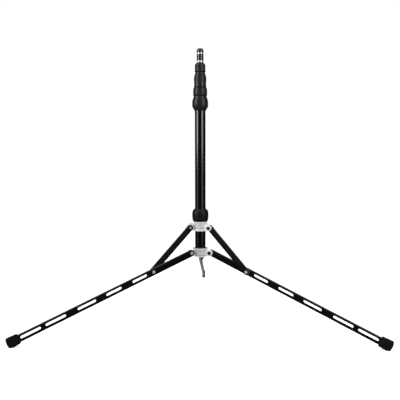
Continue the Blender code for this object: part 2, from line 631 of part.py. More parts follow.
def build_leg(number, azimuth, root, slider):
    """One leg with its cap, strut, pins and nuts."""
    leg_frame = radial_frame(azimuth, LEG_HINGE_Z, LEG_SLOPE)
    strut_frame = radial_frame(azimuth, SLIDER_HINGE_Z, STRUT_SLOPE)
    lower_frame = radial_frame(azimuth, LEG_HINGE_Z)
    upper_frame = radial_frame(azimuth, SLIDER_HINGE_Z)
    leg_axis = add_empty(f"leg_{number}_axis", leg_frame, root)
    strut_axis = add_empty(f"strut_{number}_axis", strut_frame, slider)

    leg = add_object(f"leg_{number}", leg_mesh(), LEG_BLACK, leg_frame, leg_axis)
    boolean(leg, channel_cutter("leg_channel", LEG_JOINT + EAR_RADIUS, CAP_START - 2 * MM, CHANNEL_HEIGHT,
                                LEG_INNER_FACE, LEG_OUTER_FACE), matrix=leg_frame)
    slots = [plate("leg_slot", stadium(start * LEG_LENGTH, end * LEG_LENGTH, SLOT_HEIGHT / 2), [],
                   LEG_INNER_FACE - MM, LEG_OUTER_FACE + MM) for start, end in SLOT_SHARES]
    boolean(leg, joined("leg_slots", slots), matrix=leg_frame)

    cap = add_object(f"foot_cap_{number}", cap_mesh(), FOOT_RUBBER, leg_frame, leg_axis)
    half = LEG_HEIGHT / 2 + FIT
    pocket = box("pocket", (CAP_START - MM, LEG_INNER_FACE - FIT, -half),
                 (LEG_LENGTH + FIT, LEG_OUTER_FACE + FIT, half))
    boolean(cap, pocket, matrix=leg_frame)

    holes = [circle((STRUT_LENGTH, 0), PIN_HOLE_RADIUS), circle((0, 0), PIN_HOLE_RADIUS)]
    strut_plate = bar_mesh("strut", STRUT_LENGTH, STRUT_HEIGHT, STRUT_INNER_FACE, STRUT_OUTER_FACE, holes,
                           False)
    strut = add_object(f"strut_{number}", strut_plate, LEG_BLACK, strut_frame, strut_axis)
    boolean(strut, channel_cutter("strut_channel", EAR_RADIUS, STRUT_LENGTH - EAR_RADIUS,
                                  STRUT_CHANNEL_HEIGHT, STRUT_INNER_FACE, STRUT_OUTER_FACE),
            matrix=strut_frame)
    recess = plate("recess", circle((0, 0), PIN_HEAD_RADIUS + FIT), [],
                   STRUT_OUTER_FACE - FLUSH_HEAD_HEIGHT - FIT, STRUT_OUTER_FACE + MM)
    boolean(strut, recess, matrix=strut_frame)

    head = LEG_OUTER_FACE + FIT
    tip = LOWER_EAR_FACE - LOWER_EAR_THICKNESS - PIN_OVERHANG
    add_object(f"leg_pin_{number}", pin_mesh("leg_pin", head, PIN_HEAD_HEIGHT, tip), RIVET_STEEL,
               lower_frame, root)
    add_object(f"leg_nut_{number}", nut_mesh("leg_nut", LOWER_EAR_FACE - LOWER_EAR_THICKNESS, tip),
               BLACK_NYLON, lower_frame, root)
    head = STRUT_OUTER_FACE - FLUSH_HEAD_HEIGHT
    tip = SLIDER_EAR_FACE - SLIDER_EAR_THICKNESS - PIN_OVERHANG
    add_object(f"slider_pin_{number}", pin_mesh("slider_pin", head, FLUSH_HEAD_HEIGHT, tip), RIVET_STEEL,
               upper_frame, slider)
    add_object(f"slider_nut_{number}", nut_mesh("slider_nut", SLIDER_EAR_FACE - SLIDER_EAR_THICKNESS, tip),
               BLACK_NYLON, upper_frame, slider)

    rivet = pin_mesh("joint_rivet", LEG_OUTER_FACE + FIT, PIN_HEAD_HEIGHT, LEG_INNER_FACE)
    rivet.transform(Matrix.Translation((LEG_JOINT, 0, 0)))
    add_object(f"joint_rivet_{number}", rivet, RIVET_STEEL, leg_frame, leg_axis)
    tail = pin_mesh("joint_tail", -STRUT_INNER_FACE + FIT, PIN_HEAD_HEIGHT, -STRUT_OUTER_FACE)
    tail.transform(Matrix.Translation((STRUT_LENGTH, 0, 0)) @ Matrix.Rotation(math.pi, 4, "X"))
    add_object(f"joint_tail_{number}", tail, RIVET_STEEL, strut_frame, strut_axis)


def main():
    """Clear the scene and build the stand."""
    for obj in list(bpy.data.objects):
        bpy.data.objects.remove(obj)
    root = add_empty("column", Matrix.Identity(4))
    slider = add_empty("slider", Matrix.Translation((0, 0, SLIDER_HINGE_Z)), root)
    sections = [root]
    for index, (_, top) in enumerate(collar_tops()):
        sections.append(add_empty(f"section_{index + 2}", Matrix.Translation((0, 0, top)), sections[-1]))
    build_column(root, sections)
    build_locks(root, sections)
    build_hubs(root, slider)
    build_slider_lock(slider)
    for number, azimuth in enumerate(LEG_AZIMUTHS, start=1):
        build_leg(number, azimuth, root, slider)


main()
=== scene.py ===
"""The light stand dressed for its picture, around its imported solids.

Every piece is a surface worked out with numpy in the solids' own frame, in metres, and rides on the
body that its solid belongs to. Plates are described in their own axes: x out along the bar from its
hinge, y across its thickness and z up its height.
"""
import logging
import math
from collections.abc import Callable, Sequence
from dataclasses import dataclass, field
from enum import Enum

import bmesh
import bpy
import numpy as np
from mathutils import Matrix, Vector
from mathutils.geometry import tessellate_polygon


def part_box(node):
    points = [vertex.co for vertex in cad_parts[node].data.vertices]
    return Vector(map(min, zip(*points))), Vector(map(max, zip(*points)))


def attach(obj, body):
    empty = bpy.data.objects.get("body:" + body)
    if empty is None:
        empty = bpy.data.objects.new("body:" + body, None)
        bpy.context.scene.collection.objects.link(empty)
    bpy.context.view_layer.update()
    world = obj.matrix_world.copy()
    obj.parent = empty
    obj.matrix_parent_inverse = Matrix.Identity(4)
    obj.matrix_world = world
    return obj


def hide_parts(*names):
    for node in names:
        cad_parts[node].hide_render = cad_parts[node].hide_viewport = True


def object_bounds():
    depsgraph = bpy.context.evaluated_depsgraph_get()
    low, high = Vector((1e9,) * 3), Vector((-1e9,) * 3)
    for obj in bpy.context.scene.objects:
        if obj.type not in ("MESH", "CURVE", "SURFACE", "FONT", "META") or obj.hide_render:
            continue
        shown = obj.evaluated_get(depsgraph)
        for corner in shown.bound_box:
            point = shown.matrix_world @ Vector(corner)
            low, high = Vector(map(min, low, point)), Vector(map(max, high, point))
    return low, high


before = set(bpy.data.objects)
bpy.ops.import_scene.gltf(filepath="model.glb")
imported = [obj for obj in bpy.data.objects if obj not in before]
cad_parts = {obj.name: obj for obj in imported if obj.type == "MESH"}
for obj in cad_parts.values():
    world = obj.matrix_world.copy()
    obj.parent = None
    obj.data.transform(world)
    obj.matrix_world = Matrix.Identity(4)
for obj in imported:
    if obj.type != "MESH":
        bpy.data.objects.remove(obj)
CAD_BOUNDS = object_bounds()

log = logging.getLogger("light_stand")

MM = 0.001
MERGE = 1e-7
TURN = 2 * math.pi
WHITE = (1.0, 1.0, 1.0, 1.0)
AZIMUTHS = [math.radians(90.0), math.radians(210.0), math.radians(330.0)]
HINGE_RADIUS = 27.0 * MM
LEG_HINGE_Z = 11.1 * MM
SLIDER_HINGE_Z = 70.5 * MM
LEG_SLOPE = math.radians(19.9)
LEG_JOINT = 103.0 * MM
STRUT_RUN = LEG_JOINT * math.cos(LEG_SLOPE)
STRUT_DROP = SLIDER_HINGE_Z - LEG_HINGE_Z + LEG_JOINT * math.sin(LEG_SLOPE)
STRUT_LENGTH = math.hypot(STRUT_RUN, STRUT_DROP)
STRUT_SLOPE = math.atan2(STRUT_DROP, STRUT_RUN)
TUBE_RADII = [12.5 * MM, 10.8 * MM, 9.1 * MM, 7.4 * MM, 5.7 * MM]
SECTION_BODIES = ["column", "section_2", "section_3", "section_4", "section_5"]
SHARP_EDGE = math.radians(32.0)

# Steps of the angle round turned pieces
COLLAR_SEGMENTS = 288
HUB_SEGMENTS = 120
TUBE_SEGMENTS = 96
CAP_SEGMENTS = 72
PIN_SEGMENTS = 48

# Faces of the plates across the radial plane, positive on the leg's side
LEG_FACES = (2.3 * MM, 8.3 * MM)
STRUT_FACES = (-3.1 * MM, 1.9 * MM)
LOWER_EAR_FACES = (-4.0 * MM, 2.0 * MM)
SLIDER_EAR_FACES = (-8.4 * MM, -3.4 * MM)
PIN_HOLE = 2.7 * MM

# The largest share of a side that a rounded corner takes, and the smallest radius of a bar's corner
CORNER_SHARE = 0.45
SMALLEST_ROUND = 0.05 * MM

# Down a channel's wall: shares of the lip inwards, of the depth, and of the floor's painted sheen
CHANNEL_WALL = ((-0.5, 0.0, 0.0), (-0.15, 0.12, 0.0), (0.0, 0.4, 0.2), (0.0, 0.75, 0.6), (0.5, 1.0, 1.0))

# The two inputs and the output of a Mix node for each kind of data
MIX_SOCKETS = {"RGBA": (6, 7, 2), "FLOAT": (2, 3, 0)}


class Grain(Enum):
    """The fine structure that a finish shows close up."""

    DRAWN = "drawn"
    PEBBLE = "pebble"
    CAST = "cast"
    TURNED = "turned"
    PEEL = "peel"
    MOULDED = "moulded"


@dataclass(frozen=True)
class GrainLook:
    """A grain's fine and broad noise: their scales along x, y and z, per metre, and their detail."""

    fine: tuple[float, float, float]
    broad: tuple[float, float, float]
    fine_detail: float
    fine_roughness: float = 0.55
    broad_detail: float = 4.0
    broad_roughness: float = 0.6


GRAINS = {
    Grain.DRAWN: GrainLook((2200.0, 2200.0, 18.0), (60.0, 60.0, 9.0), 3.0),
    Grain.PEBBLE: GrainLook((1500.0, 1500.0, 1500.0), (90.0, 90.0, 90.0), 2.0),
    Grain.CAST: GrainLook((900.0, 900.0, 900.0), (120.0, 120.0, 120.0), 5.0),
    Grain.TURNED: GrainLook((12.0, 12.0, 5200.0), (70.0, 70.0, 300.0), 2.0),
    Grain.PEEL: GrainLook((1100.0, 1100.0, 1100.0), (35.0, 35.0, 35.0), 2.0),
    Grain.MOULDED: GrainLook((700.0, 700.0, 700.0), (55.0, 55.0, 55.0), 4.0),
}


class Graph:
    """A node tree, filled step by step."""

    def __init__(self, tree: bpy.types.NodeTree) -> None:
        """Take up a tree, and its Principled shader where it has one."""
        self.tree = tree
        self.shader = tree.nodes.get("Principled BSDF")

    def add(self, kind: str, settings: dict | None = None, **inputs: object) -> bpy.types.Node:
        """Add a node.

        Args:
            kind: the node's type name.
            settings: its properties.
            inputs: values or sockets for its inputs, with underscores for spaces.

        Returns:
            The new node.
        """
        node = self.tree.nodes.new(kind)
        for key, value in (settings or {}).items():
            setattr(node, key, value)
        self.feed(node, **inputs)
        return node

    def feed(self, node: bpy.types.Node, **inputs: object) -> None:
        """Set a node's inputs, whose names have underscores for spaces here."""
        for key, value in inputs.items():
            self.connect(node.inputs[key.replace("_", " ")], value)

    def connect(self, socket: bpy.types.NodeSocket, value: object) -> None:
        """Link an input to a socket, or set its value.

        Args:
            socket: the input.
            value: the socket or the value that it takes.
        """
        if isinstance(value, bpy.types.NodeSocket):
            self.tree.links.new(value, socket)
        else:
            socket.default_value = value

    def blend(self, share: object, first: object, second: object,
              kind: str = "RGBA") -> bpy.types.NodeSocket:
        """Mix two colours or two numbers.

        Args:
            share: how much of the second one is taken.
            first: the colour or number at a share of 0.
            second: the one at 1.
            kind: RGBA for colours, FLOAT for numbers.

        Returns:
            The mixed value's socket.
        """
        node = self.add("ShaderNodeMix", {"data_type": kind})
        first_input, second_input, result = MIX_SOCKETS[kind]
        self.connect(node.inputs[0], share)
        self.connect(node.inputs[first_input], first)
        self.connect(node.inputs[second_input], second)
        return node.outputs[result]

    def remap(self, value: object, low: object, high: object, start: float = 0.3, end: float = 0.7,
              way: str = "LINEAR") -> bpy.types.NodeSocket:
        """Stretch a value from start..end onto low..high.

        Args:
            value: what is stretched.
            low: the result at the start.
            high: the result at the end.
            start: where the stretch begins.
            end: where it ends.
            way: the curve between them.

        Returns:
            The stretched value's socket.
        """
        node = self.add("ShaderNodeMapRange", {"interpolation_type": way}, Value=value, From_Min=start,
                        From_Max=end, To_Min=low, To_Max=high)
        return node.outputs[0]

    def reckon(self, operation: str, *values: object, clamp: bool = False) -> bpy.types.NodeSocket:
        """Work out a number from others.

        Args:
            operation: the Math node's operation.
            values: the numbers or sockets that go into it.
            clamp: whether the result stays between 0 and 1.

        Returns:
            The result's socket.
        """
        node = self.add("ShaderNodeMath", {"operation": operation, "use_clamp": clamp})
        for socket, value in zip(node.inputs, values):
            self.connect(socket, value)
        return node.outputs[0]

    def noise(self, place: bpy.types.NodeSocket, scale: Sequence[float], detail: float,
              roughness: float) -> bpy.types.NodeSocket:
        """Make a noise with its own scale along each axis.

        Args:
            place: the coordinates.
            scale: the scales along x, y and z.
            detail: the noise's detail.
            roughness: the noise's roughness.

        Returns:
            The noise's socket.
        """
        spot = self.add("ShaderNodeMapping", Vector=place, Scale=scale).outputs[0]
        return self.add("ShaderNodeTexNoise", Vector=spot, Scale=1.0, Detail=detail,
                        Roughness=roughness).outputs[0]


@dataclass(frozen=True)
class Finish:
    """A surface finish, made as one procedural material on object coordinates.

    The colour drifts towards the worn colour with a broad noise, and roughness and relief follow a
    fine one. A piece's "mark" attribute carries painted light and shade: where it is 1, the painted
    colour and roughness take over.
    """

    name: str
    colour: tuple[float, float, float]
    worn: tuple[float, float, float]
    roughness: float
    spread: float
    metallic: float
    grain: Grain
    relief: float
    # Painted light and shade: the colour and roughness where a piece's mark is 1
    painted_colour: tuple[float, float, float]
    painted_roughness: float
    specular: float = 0.5
    bump: float = 0.6

    def material(self) -> bpy.types.Material:
        """Find the finish's material, or make it at its first use.

        Returns:
            The material.
        """
        made = bpy.data.materials.get(self.name + "_finish")
        if made is None:
            made = bpy.data.materials.new(self.name + "_finish")
            made.use_nodes = True
            self.dress(Graph(made.node_tree))
        return made

    def dress(self, graph: Graph) -> None:
        """Build the finish's nodes.

        Args:
            graph: the material's nodes.
        """
        look = GRAINS[self.grain]
        place = graph.add("ShaderNodeTexCoord").outputs["Object"]
        fine = graph.noise(place, look.fine, look.fine_detail, look.fine_roughness)
        broad = graph.noise(place, look.broad, look.broad_detail, look.broad_roughness)
        mark = graph.add("ShaderNodeAttribute", {"attribute_name": "mark"}).outputs["Fac"]
        own = graph.blend(graph.remap(broad, 0.0, 1.0), (*self.colour, 1.0), (*self.worn, 1.0))
        matt = graph.remap(fine, self.roughness - self.spread, self.roughness + self.spread)
        bump = graph.add("ShaderNodeBump", Strength=self.bump, Distance=self.relief, Height=fine)
        # The mark lays the painted light and shade over the finish's own colour and roughness
        graph.feed(graph.shader, Base_Color=graph.blend(mark, own, (*self.painted_colour, 1.0)),
                   Roughness=graph.remap(mark, matt, self.painted_roughness, 0.0, 1.0),
                   Metallic=self.metallic, Specular_IOR_Level=self.specular, Normal=bump.outputs[0])


ANODISED = Finish("black_anodised", colour=(0.085, 0.085, 0.088), worn=(0.070, 0.070, 0.073),
                  roughness=0.20, spread=0.04, metallic=1.0, grain=Grain.DRAWN, relief=0.003 * MM,
                  painted_colour=(0.10, 0.10, 0.10), painted_roughness=0.35)
# Its painted colour is the near-black painted shade at the collars' ends and in their bores
SOFT_GRIP = Finish("soft_grip", colour=(0.010, 0.010, 0.0105), worn=(0.016, 0.016, 0.0165),
                   roughness=0.31, spread=0.05, metallic=0.0, grain=Grain.PEBBLE, relief=0.02 * MM,
                   painted_colour=(0.0015, 0.0015, 0.0015), painted_roughness=0.75, specular=0.42)
# Its painted colour is the painted shade on the slider collar's lower band and in its bore
NYLON = Finish("black_nylon", colour=(0.0025, 0.0025, 0.0027), worn=(0.005, 0.005, 0.0052),
               roughness=0.42, spread=0.08, metallic=0.0, grain=Grain.MOULDED, relief=0.04 * MM,
               painted_colour=(0.001, 0.001, 0.001), painted_roughness=0.8, specular=0.35)
# Its painted colour is a grey painted sheen on the bars' edges and channel floors, standing in for
# reflections
LEG_BLACK = Finish("leg_black", colour=(0.0012, 0.0012, 0.0014), worn=(0.0025, 0.0025, 0.0028),
                   roughness=0.50, spread=0.06, metallic=0.0, grain=Grain.PEEL, relief=0.03 * MM,
                   painted_colour=(0.075, 0.075, 0.077), painted_roughness=0.50, specular=0.08)
# Its painted colour is the near-white painted highlight in the stud's grooves
CHROME = Finish("chrome", colour=(0.095, 0.095, 0.10), worn=(0.115, 0.115, 0.12),
                roughness=0.26, spread=0.04, metallic=1.0, grain=Grain.TURNED, relief=0.01 * MM,
                painted_colour=(0.92, 0.92, 0.92), painted_roughness=0.42)
# Its painted colour is the painted shade on the floors of the hubs' grooves
CASTING = Finish("cast_silver", colour=(0.90, 0.90, 0.87), worn=(0.76, 0.76, 0.73),
                 roughness=0.38, spread=0.08, metallic=0.28, grain=Grain.CAST, relief=0.06 * MM,
                 painted_colour=(0.22, 0.22, 0.21), painted_roughness=0.5)
RIVET = Finish("rivet_steel", colour=(0.45, 0.45, 0.45), worn=(0.39, 0.39, 0.39),
               roughness=0.38, spread=0.06, metallic=0.25, grain=Grain.TURNED, relief=0.02 * MM,
               painted_colour=(0.3, 0.3, 0.3), painted_roughness=0.4)
RUBBER = Finish("foot_rubber", colour=(0.004, 0.004, 0.0042), worn=(0.008, 0.008, 0.008),
                roughness=0.70, spread=0.08, metallic=0.0, grain=Grain.PEBBLE, relief=0.10 * MM,
                painted_colour=(0.03, 0.03, 0.03), painted_roughness=0.7, specular=0.12)
ACETAL = Finish("lock_plastic", colour=(0.50, 0.50, 0.51), worn=(0.58, 0.58, 0.58),
                roughness=0.45, spread=0.06, metallic=0.0, grain=Grain.MOULDED, relief=0.03 * MM,
                painted_colour=(0.5, 0.5, 0.5), painted_roughness=0.5)


def eased(profile: Sequence[Sequence[float]], radius: float, steps: int = 4,
          closed: bool = True) -> np.ndarray:
    """Round a profile's corners.

    Each corner P gives way to the curve (1-t)^2 A + 2t(1-t) P + t^2 B, where A and B are set back
    from P along its two sides by the radius, or by just under half a side that is shorter.

    Args:
        profile: the corners, two numbers each.
        radius: how far a curve reaches back from its corner.
        steps: parts of each curve.
        closed: whether the last corner joins the first; an open profile keeps its end points.

    Returns:
        The rounded profile, one row of two numbers for each point.
    """
    corners = np.asarray(profile, float)

    def set_back(neighbour: np.ndarray) -> np.ndarray:
        """Find where each corner's curve leaves the side towards a neighbour.

        Args:
            neighbour: the neighbour of each corner.

        Returns:
            The points, one row for each corner.
        """
        side = neighbour - corners
        length = np.maximum(np.linalg.norm(side, axis=1, keepdims=True), MERGE)
        return corners + side / length * np.minimum(radius, length * CORNER_SHARE)

    start = set_back(np.roll(corners, 1, axis=0))[:, None]
    end = set_back(np.roll(corners, -1, axis=0))[:, None]
    t = np.linspace(0.0, 1.0, steps + 1)[None, :, None]
    curves = (1 - t) ** 2 * start + 2 * t * (1 - t) * corners[:, None] + t ** 2 * end
    if closed:
        return curves.reshape(-1, 2)
    return np.vstack([corners[:1], curves[1:-1].reshape(-1, 2), corners[-1:]])


def flowing(knots: Sequence[Sequence[float]], samples: int) -> np.ndarray:
    """Draw a smooth curve through knots.

    Between two knots the value is the cubic that meets both values and both slopes, where a
    knot's slope is the central difference of its neighbours.

    Args:
        knots: (place, value) pairs with rising places.
        samples: points along the curve.

    Returns:
        The curve's (place, value) rows.
    """
    places, values = np.asarray(knots, float).T
    slopes = np.gradient(values, places)
    at = np.linspace(places[0], places[-1], samples)
    index = np.clip(np.searchsorted(places, at, side="right") - 1, 0, len(places) - 2)
    span = places[index + 1] - places[index]
    t = (at - places[index]) / span
    value = ((2 * t ** 3 - 3 * t ** 2 + 1) * values[index]
             + (t ** 3 - 2 * t ** 2 + t) * span * slopes[index]
             + (3 * t ** 2 - 2 * t ** 3) * values[index + 1]
             + (t ** 3 - t ** 2) * span * slopes[index + 1])
    return np.column_stack([at, value])


class Shell:
    """Points and faces of one piece, gathered surface by surface."""

    def __init__(self) -> None:
        """Start empty."""
        self.points: list[np.ndarray] = []
        self.marks: list[np.ndarray] = []
        self.faces: list[tuple[int, ...]] = []
        self.count = 0

    def keep(self, points: np.ndarray, mark: float | np.ndarray) -> int:
        """Store points with their mark.

        Args:
            points: rows of x, y and z.
            mark: the mark of all points, or of each point.

        Returns:
            The index of the first one.
        """
        first = self.count
        self.points.append(points)
        self.marks.append(np.broadcast_to(mark, (len(points),)).astype(float))
        self.count += len(points)
        return first

    def weave(self, rows: np.ndarray, mark: float | np.ndarray = 0.0, wrap: bool = False) -> None:
        """Join rows of points into a surface: point (i, j) meets (i+1, j), (i+1, j+1) and (i, j+1).

        Args:
            rows: an array of rows, each one a closed loop of points.
            mark: the mark of all points, or of each row.
            wrap: whether the last row joins the first.
        """
        height, width = rows.shape[:2]
        marks = np.repeat(np.broadcast_to(mark, (height,)), width)
        first = self.keep(rows.reshape(-1, 3), marks)
        index = first + np.arange(height * width).reshape(height, width)
        after = np.roll(index, -1, axis=1)
        lower = index if wrap else index[:-1]
        upper = np.roll(index, -1, axis=0) if wrap else index[1:]
        after_lower = after if wrap else after[:-1]
        after_upper = np.roll(after, -1, axis=0) if wrap else after[1:]
        quads = np.stack([lower, after_lower, after_upper, upper], axis=-1).reshape(-1, 4)
        self.faces += [tuple(quad) for quad in quads.tolist()]

    def fill(self, loops: Sequence[np.ndarray], mark: float = 0.0) -> None:
        """Close a flat region: triangles between an outer loop and the loops of its holes.

        Args:
            loops: the outer loop first, all in one plane of constant y.
            mark: the mark of its points.
        """
        flat = [[Vector((x, z, 0.0)) for x, _, z in loop] for loop in loops]
        first = self.keep(np.vstack(loops), mark)
        self.faces += [tuple(first + corner for corner in triangle)
                       for triangle in tessellate_polygon(flat)]

    def moved(self, matrix: Matrix) -> "Shell":
        """Place the whole shell.

        Args:
            matrix: turns and shifts its points.

        Returns:
            The same shell.
        """
        turn = np.array(matrix)
        self.points = [points @ turn[:3, :3].T + turn[:3, 3] for points in self.points]
        return self

    def join(self, other: "Shell") -> "Shell":
        """Take in another shell's surfaces.

        Args:
            other: the other shell.

        Returns:
            The same shell, grown.
        """
        self.points += other.points
        self.marks += other.marks
        self.faces += [tuple(self.count + corner for corner in face) for face in other.faces]
        self.count += other.count
        return self


def spun(profile: np.ndarray, segments: int, mark: float | np.ndarray = 0.0, closed: bool = True,
         pull: Callable[[np.ndarray, np.ndarray, np.ndarray], np.ndarray] | None = None) -> Shell:
    """Turn a profile about z: the point (r, z) goes to (r cos a, r sin a, z) for every angle a.

    Args:
        profile: rows of (r, z).
        segments: steps of the angle.
        mark: the mark of all points, or of each profile point.
        closed: whether the profile is a ring; an open one starts and ends on the axis.
        pull: gives a new radius from radius, height and angle.

    Returns:
        The turned shell.
    """
    radius, height = np.asarray(profile, float).T
    angle = np.arange(segments) * TURN / segments
    wide = np.broadcast_to(radius[:, None], (len(radius), segments))
    tall = np.broadcast_to(height[:, None], (len(radius), segments))
    if pull is not None:
        wide = pull(wide, tall, angle[None, :])
    rows = np.stack([wide * np.cos(angle), wide * np.sin(angle), tall], axis=-1)
    shell = Shell()
    shell.weave(rows, mark, wrap=closed)
    return shell


def rimmed(faces: tuple[float, float], ease: float, steps: int) -> list[tuple[float, float]]:
    """List insets and heights round a plate's edge, from its upper face down to its lower one.

    Both rims are quarter circles of radius e: at an angle a from the face, the inset is
    e (1 - sin a) and the drop from the face is e (1 - cos a).

    Args:
        faces: the heights of the two faces.
        ease: the radius of both rims.
        steps: parts of each rim.

    Returns:
        (inset, height) pairs.
    """
    low, high = faces
    sweep = np.radians(np.linspace(0.0, 90.0, steps + 1))
    inset = ease * (1 - np.sin(sweep))
    drop = ease * (1 - np.cos(sweep))
    insets = np.concatenate([inset, inset[::-1]])
    heights = np.concatenate([high - drop, low + drop[::-1]])
    return list(zip(insets.tolist(), heights.tolist()))


def lofted(flat: np.ndarray, faces: tuple[float, float], ease: float, steps: int = 5) -> Shell:
    """Give an outline a thickness with rounded rims.

    Each loop is the outline drawn towards its middle by a quarter circle's inset, which follows
    the outline's own inward normals.

    Args:
        flat: the outline's (x, z) rows, in order.
        faces: the heights of the two faces across the plate.
        ease: the rims' radius.
        steps: parts of each rim.

    Returns:
        The closed shell in the plate's axes.
    """
    ahead = np.roll(flat, -1, axis=0) - np.roll(flat, 1, axis=0)
    ahead /= np.linalg.norm(ahead, axis=1, keepdims=True)
    inward = np.column_stack([-ahead[:, 1], ahead[:, 0]])
    rows = []
    for inset, y in rimmed(faces, ease, steps):
        loop = flat + inward * inset
        rows.append(np.column_stack([loop[:, 0], np.full(len(loop), y), loop[:, 1]]))
    shell = Shell()
    shell.weave(np.stack(rows))
    shell.fill([rows[0]])
    shell.fill([rows[-1]])
    return shell


def finished(name: str, shell: Shell, finish: Finish, body: str, nodes: Sequence[str]) -> None:
    """Make a shell an object, dress it, and set it in the frame.

    Args:
        name: the piece's name.
        shell: its surfaces.
        finish: its finish, whose material it takes.
        body: the body that it rides on.
        nodes: the CAD nodes that it stands for.
    """
    mesh = bpy.data.meshes.new(name)
    mesh.from_pydata(np.vstack(shell.points), [], shell.faces)
    mesh.attributes.new("mark", "FLOAT", "POINT").data.foreach_set("value", np.concatenate(shell.marks))
    work = bmesh.new()
    work.from_mesh(mesh)
    bmesh.ops.remove_doubles(work, verts=work.verts, dist=MERGE)
    bmesh.ops.recalc_face_normals(work, faces=work.faces)
    work.to_mesh(mesh)
    work.free()
    mesh.shade_smooth()
    mesh.set_sharp_from_angle(angle=SHARP_EDGE)
    mesh.materials.append(finish.material())
    piece = bpy.data.objects.new(name, mesh)
    bpy.context.scene.collection.objects.link(piece)
    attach(piece, body)
    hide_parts(*nodes)
    log.info("%s: %d faces on %s", name, len(mesh.polygons), body)


def dress(node: str, finish: Finish) -> None:
    """Give a CAD node that keeps its solid's shape the material of a finish.

    Args:
        node: the node's name.
        finish: the finish.
    """
    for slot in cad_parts[node].material_slots:
        slot.material = finish.material()
    log.info("%s keeps its solid's shape", node)


def plate_frame(azimuth: float, hinge_z: float, slope: float = 0.0) -> Matrix:
    """The frame of a plate: x outward from its hinge and down the slope, y across, z up."""
    hinge = Matrix.Translation((HINGE_RADIUS, 0.0, hinge_z))
    return Matrix.Rotation(azimuth, 4, "Z") @ hinge @ Matrix.Rotation(slope, 4, "Y")


def across(along: float = 0.0, turned: bool = False) -> Matrix:
    """Lay a turned piece's z axis on a plate's y axis, or on -y when turned."""
    angle = math.radians(90.0 if turned else -90.0)
    return Matrix.Translation((along, 0.0, 0.0)) @ Matrix.Rotation(angle, 4, "X")


@dataclass(frozen=True)
class Outline:
    """A bar's outline between start and end, with one corner radius at its start and one at its end."""

    start: float
    end: float
    half: float
    start_round: float
    end_round: float
    steps: int = 12

    def loop(self, inset: float, y: float) -> np.ndarray:
        """The outline moved inwards by the inset, at a height y across the plate.

        Each corner is a quarter circle, centre + r (cos a, sin a), whose radius shrinks by the
        inset, so that loops of different insets have the same points in the same order.

        Args:
            inset: how far the outline moves inwards, or outwards below zero.
            y: the height across the plate.

        Returns:
            The closed loop's points.
        """
        half = self.half - inset
        start = self.start + inset
        end = self.end - inset
        parts = []
        for x_edge, inward, side, radius, angle in ((end, -1.0, -1.0, self.end_round, -90.0),
                                                    (end, -1.0, 1.0, self.end_round, 0.0),
                                                    (start, 1.0, 1.0, self.start_round, 90.0),
                                                    (start, 1.0, -1.0, self.start_round, 180.0)):
            radius = min(max(radius - inset, SMALLEST_ROUND), half)
            centre = np.array([x_edge + inward * radius, side * (half - radius)])
            sweep = np.radians(angle + np.linspace(0.0, 90.0, self.steps + 1))
            parts.append(centre + radius * np.column_stack([np.cos(sweep), np.sin(sweep)]))
        flat = np.vstack(parts)
        return np.column_stack([flat[:, 0], np.full(len(flat), y), flat[:, 1]])


def hole(start: float, end: float, half: float, steps: int = 12) -> Outline:
    """A slot with round ends, or a round hole where its length is its height."""
    return Outline(start, end, half, half, half, steps)


def round_hole(x: float, radius: float) -> Outline:
    """A round hole about x."""
    return hole(x - radius, x + radius, radius, 8)


@dataclass(frozen=True)
class Bar:
    """A flat bar: an outline with eased edges, round holes, and a channel in each face with slots."""

    outline: Outline
    faces: tuple[float, float]
    holes: tuple[Outline, ...]
    ease: float
    channel: Outline | None = None
    slots: tuple[Outline, ...] = ()
    depth: float = 0.0
    # Painted sheen on the rim and the channel floor, standing in for reflections of the bright surround
    edge_sheen: float = 0.0
    edge_sheen_gain: float = 1.2
    floor_sheen: float = 0.07
    lip: float = 0.4 * MM
    hole_ease: float = 0.3 * MM
    rim_steps: int = 4

    def shell(self) -> Shell:
        """Draw the bar; its edge takes a painted sheen where the rim's inset is small.

        Returns:
            The closed surface in its plate's axes.
        """
        shell = Shell()
        low, high = self.faces
        rim = rimmed(self.faces, self.ease, self.rim_steps)
        edge = np.clip([self.edge_sheen_gain * (1 - inset / self.ease) for inset, _ in rim], 0.0, 1.0)
        shell.weave(np.stack([self.outline.loop(inset, y) for inset, y in rim]), edge * self.edge_sheen)
        for place in self.holes:
            self.line(shell, place, low, high, self.hole_ease)
        for face, inward in ((low, 1.0), (high, -1.0)):
            openings = [place.loop(-self.hole_ease, face) for place in self.holes]
            if self.channel is not None:
                openings.append(self.sink(shell, face, inward))
            shell.fill([self.outline.loop(self.ease, face), *openings])
        for place in self.slots:
            self.line(shell, place, low + self.depth, high - self.depth, self.lip)
        return shell

    def line(self, shell: Shell, place: Outline, low: float, high: float, ease: float) -> None:
        """Add the wall of a hole or slot through the bar, bevelled at both ends.

        Args:
            shell: takes the wall.
            place: the hole's outline.
            low: the wall's lower end across the plate.
            high: its upper end.
            ease: the bevels' size.
        """
        shell.weave(np.stack([place.loop(-ease, low), place.loop(0.0, low + ease),
                              place.loop(0.0, high - ease), place.loop(-ease, high)]))

    def sink(self, shell: Shell, face: float, inward: float) -> np.ndarray:
        """Add a face's channel: its eased wall, and its floor between the slots, both with a painted sheen.

        Args:
            shell: takes the surfaces.
            face: the face's height across the plate.
            inward: 1 where the bar is above the face, and -1 where it is below.

        Returns:
            The loop where the wall meets the face.
        """
        floor = face + inward * self.depth
        insets, depths, sheens = np.array(CHANNEL_WALL).T
        rows = [self.channel.loop(self.lip * inset, face + inward * self.depth * depth)
                for inset, depth in zip(insets, depths)]
        shell.weave(np.stack(rows), sheens * self.floor_sheen)
        shell.fill([rows[-1], *[place.loop(-self.lip, floor) for place in self.slots]], self.floor_sheen)
        return rows[0]


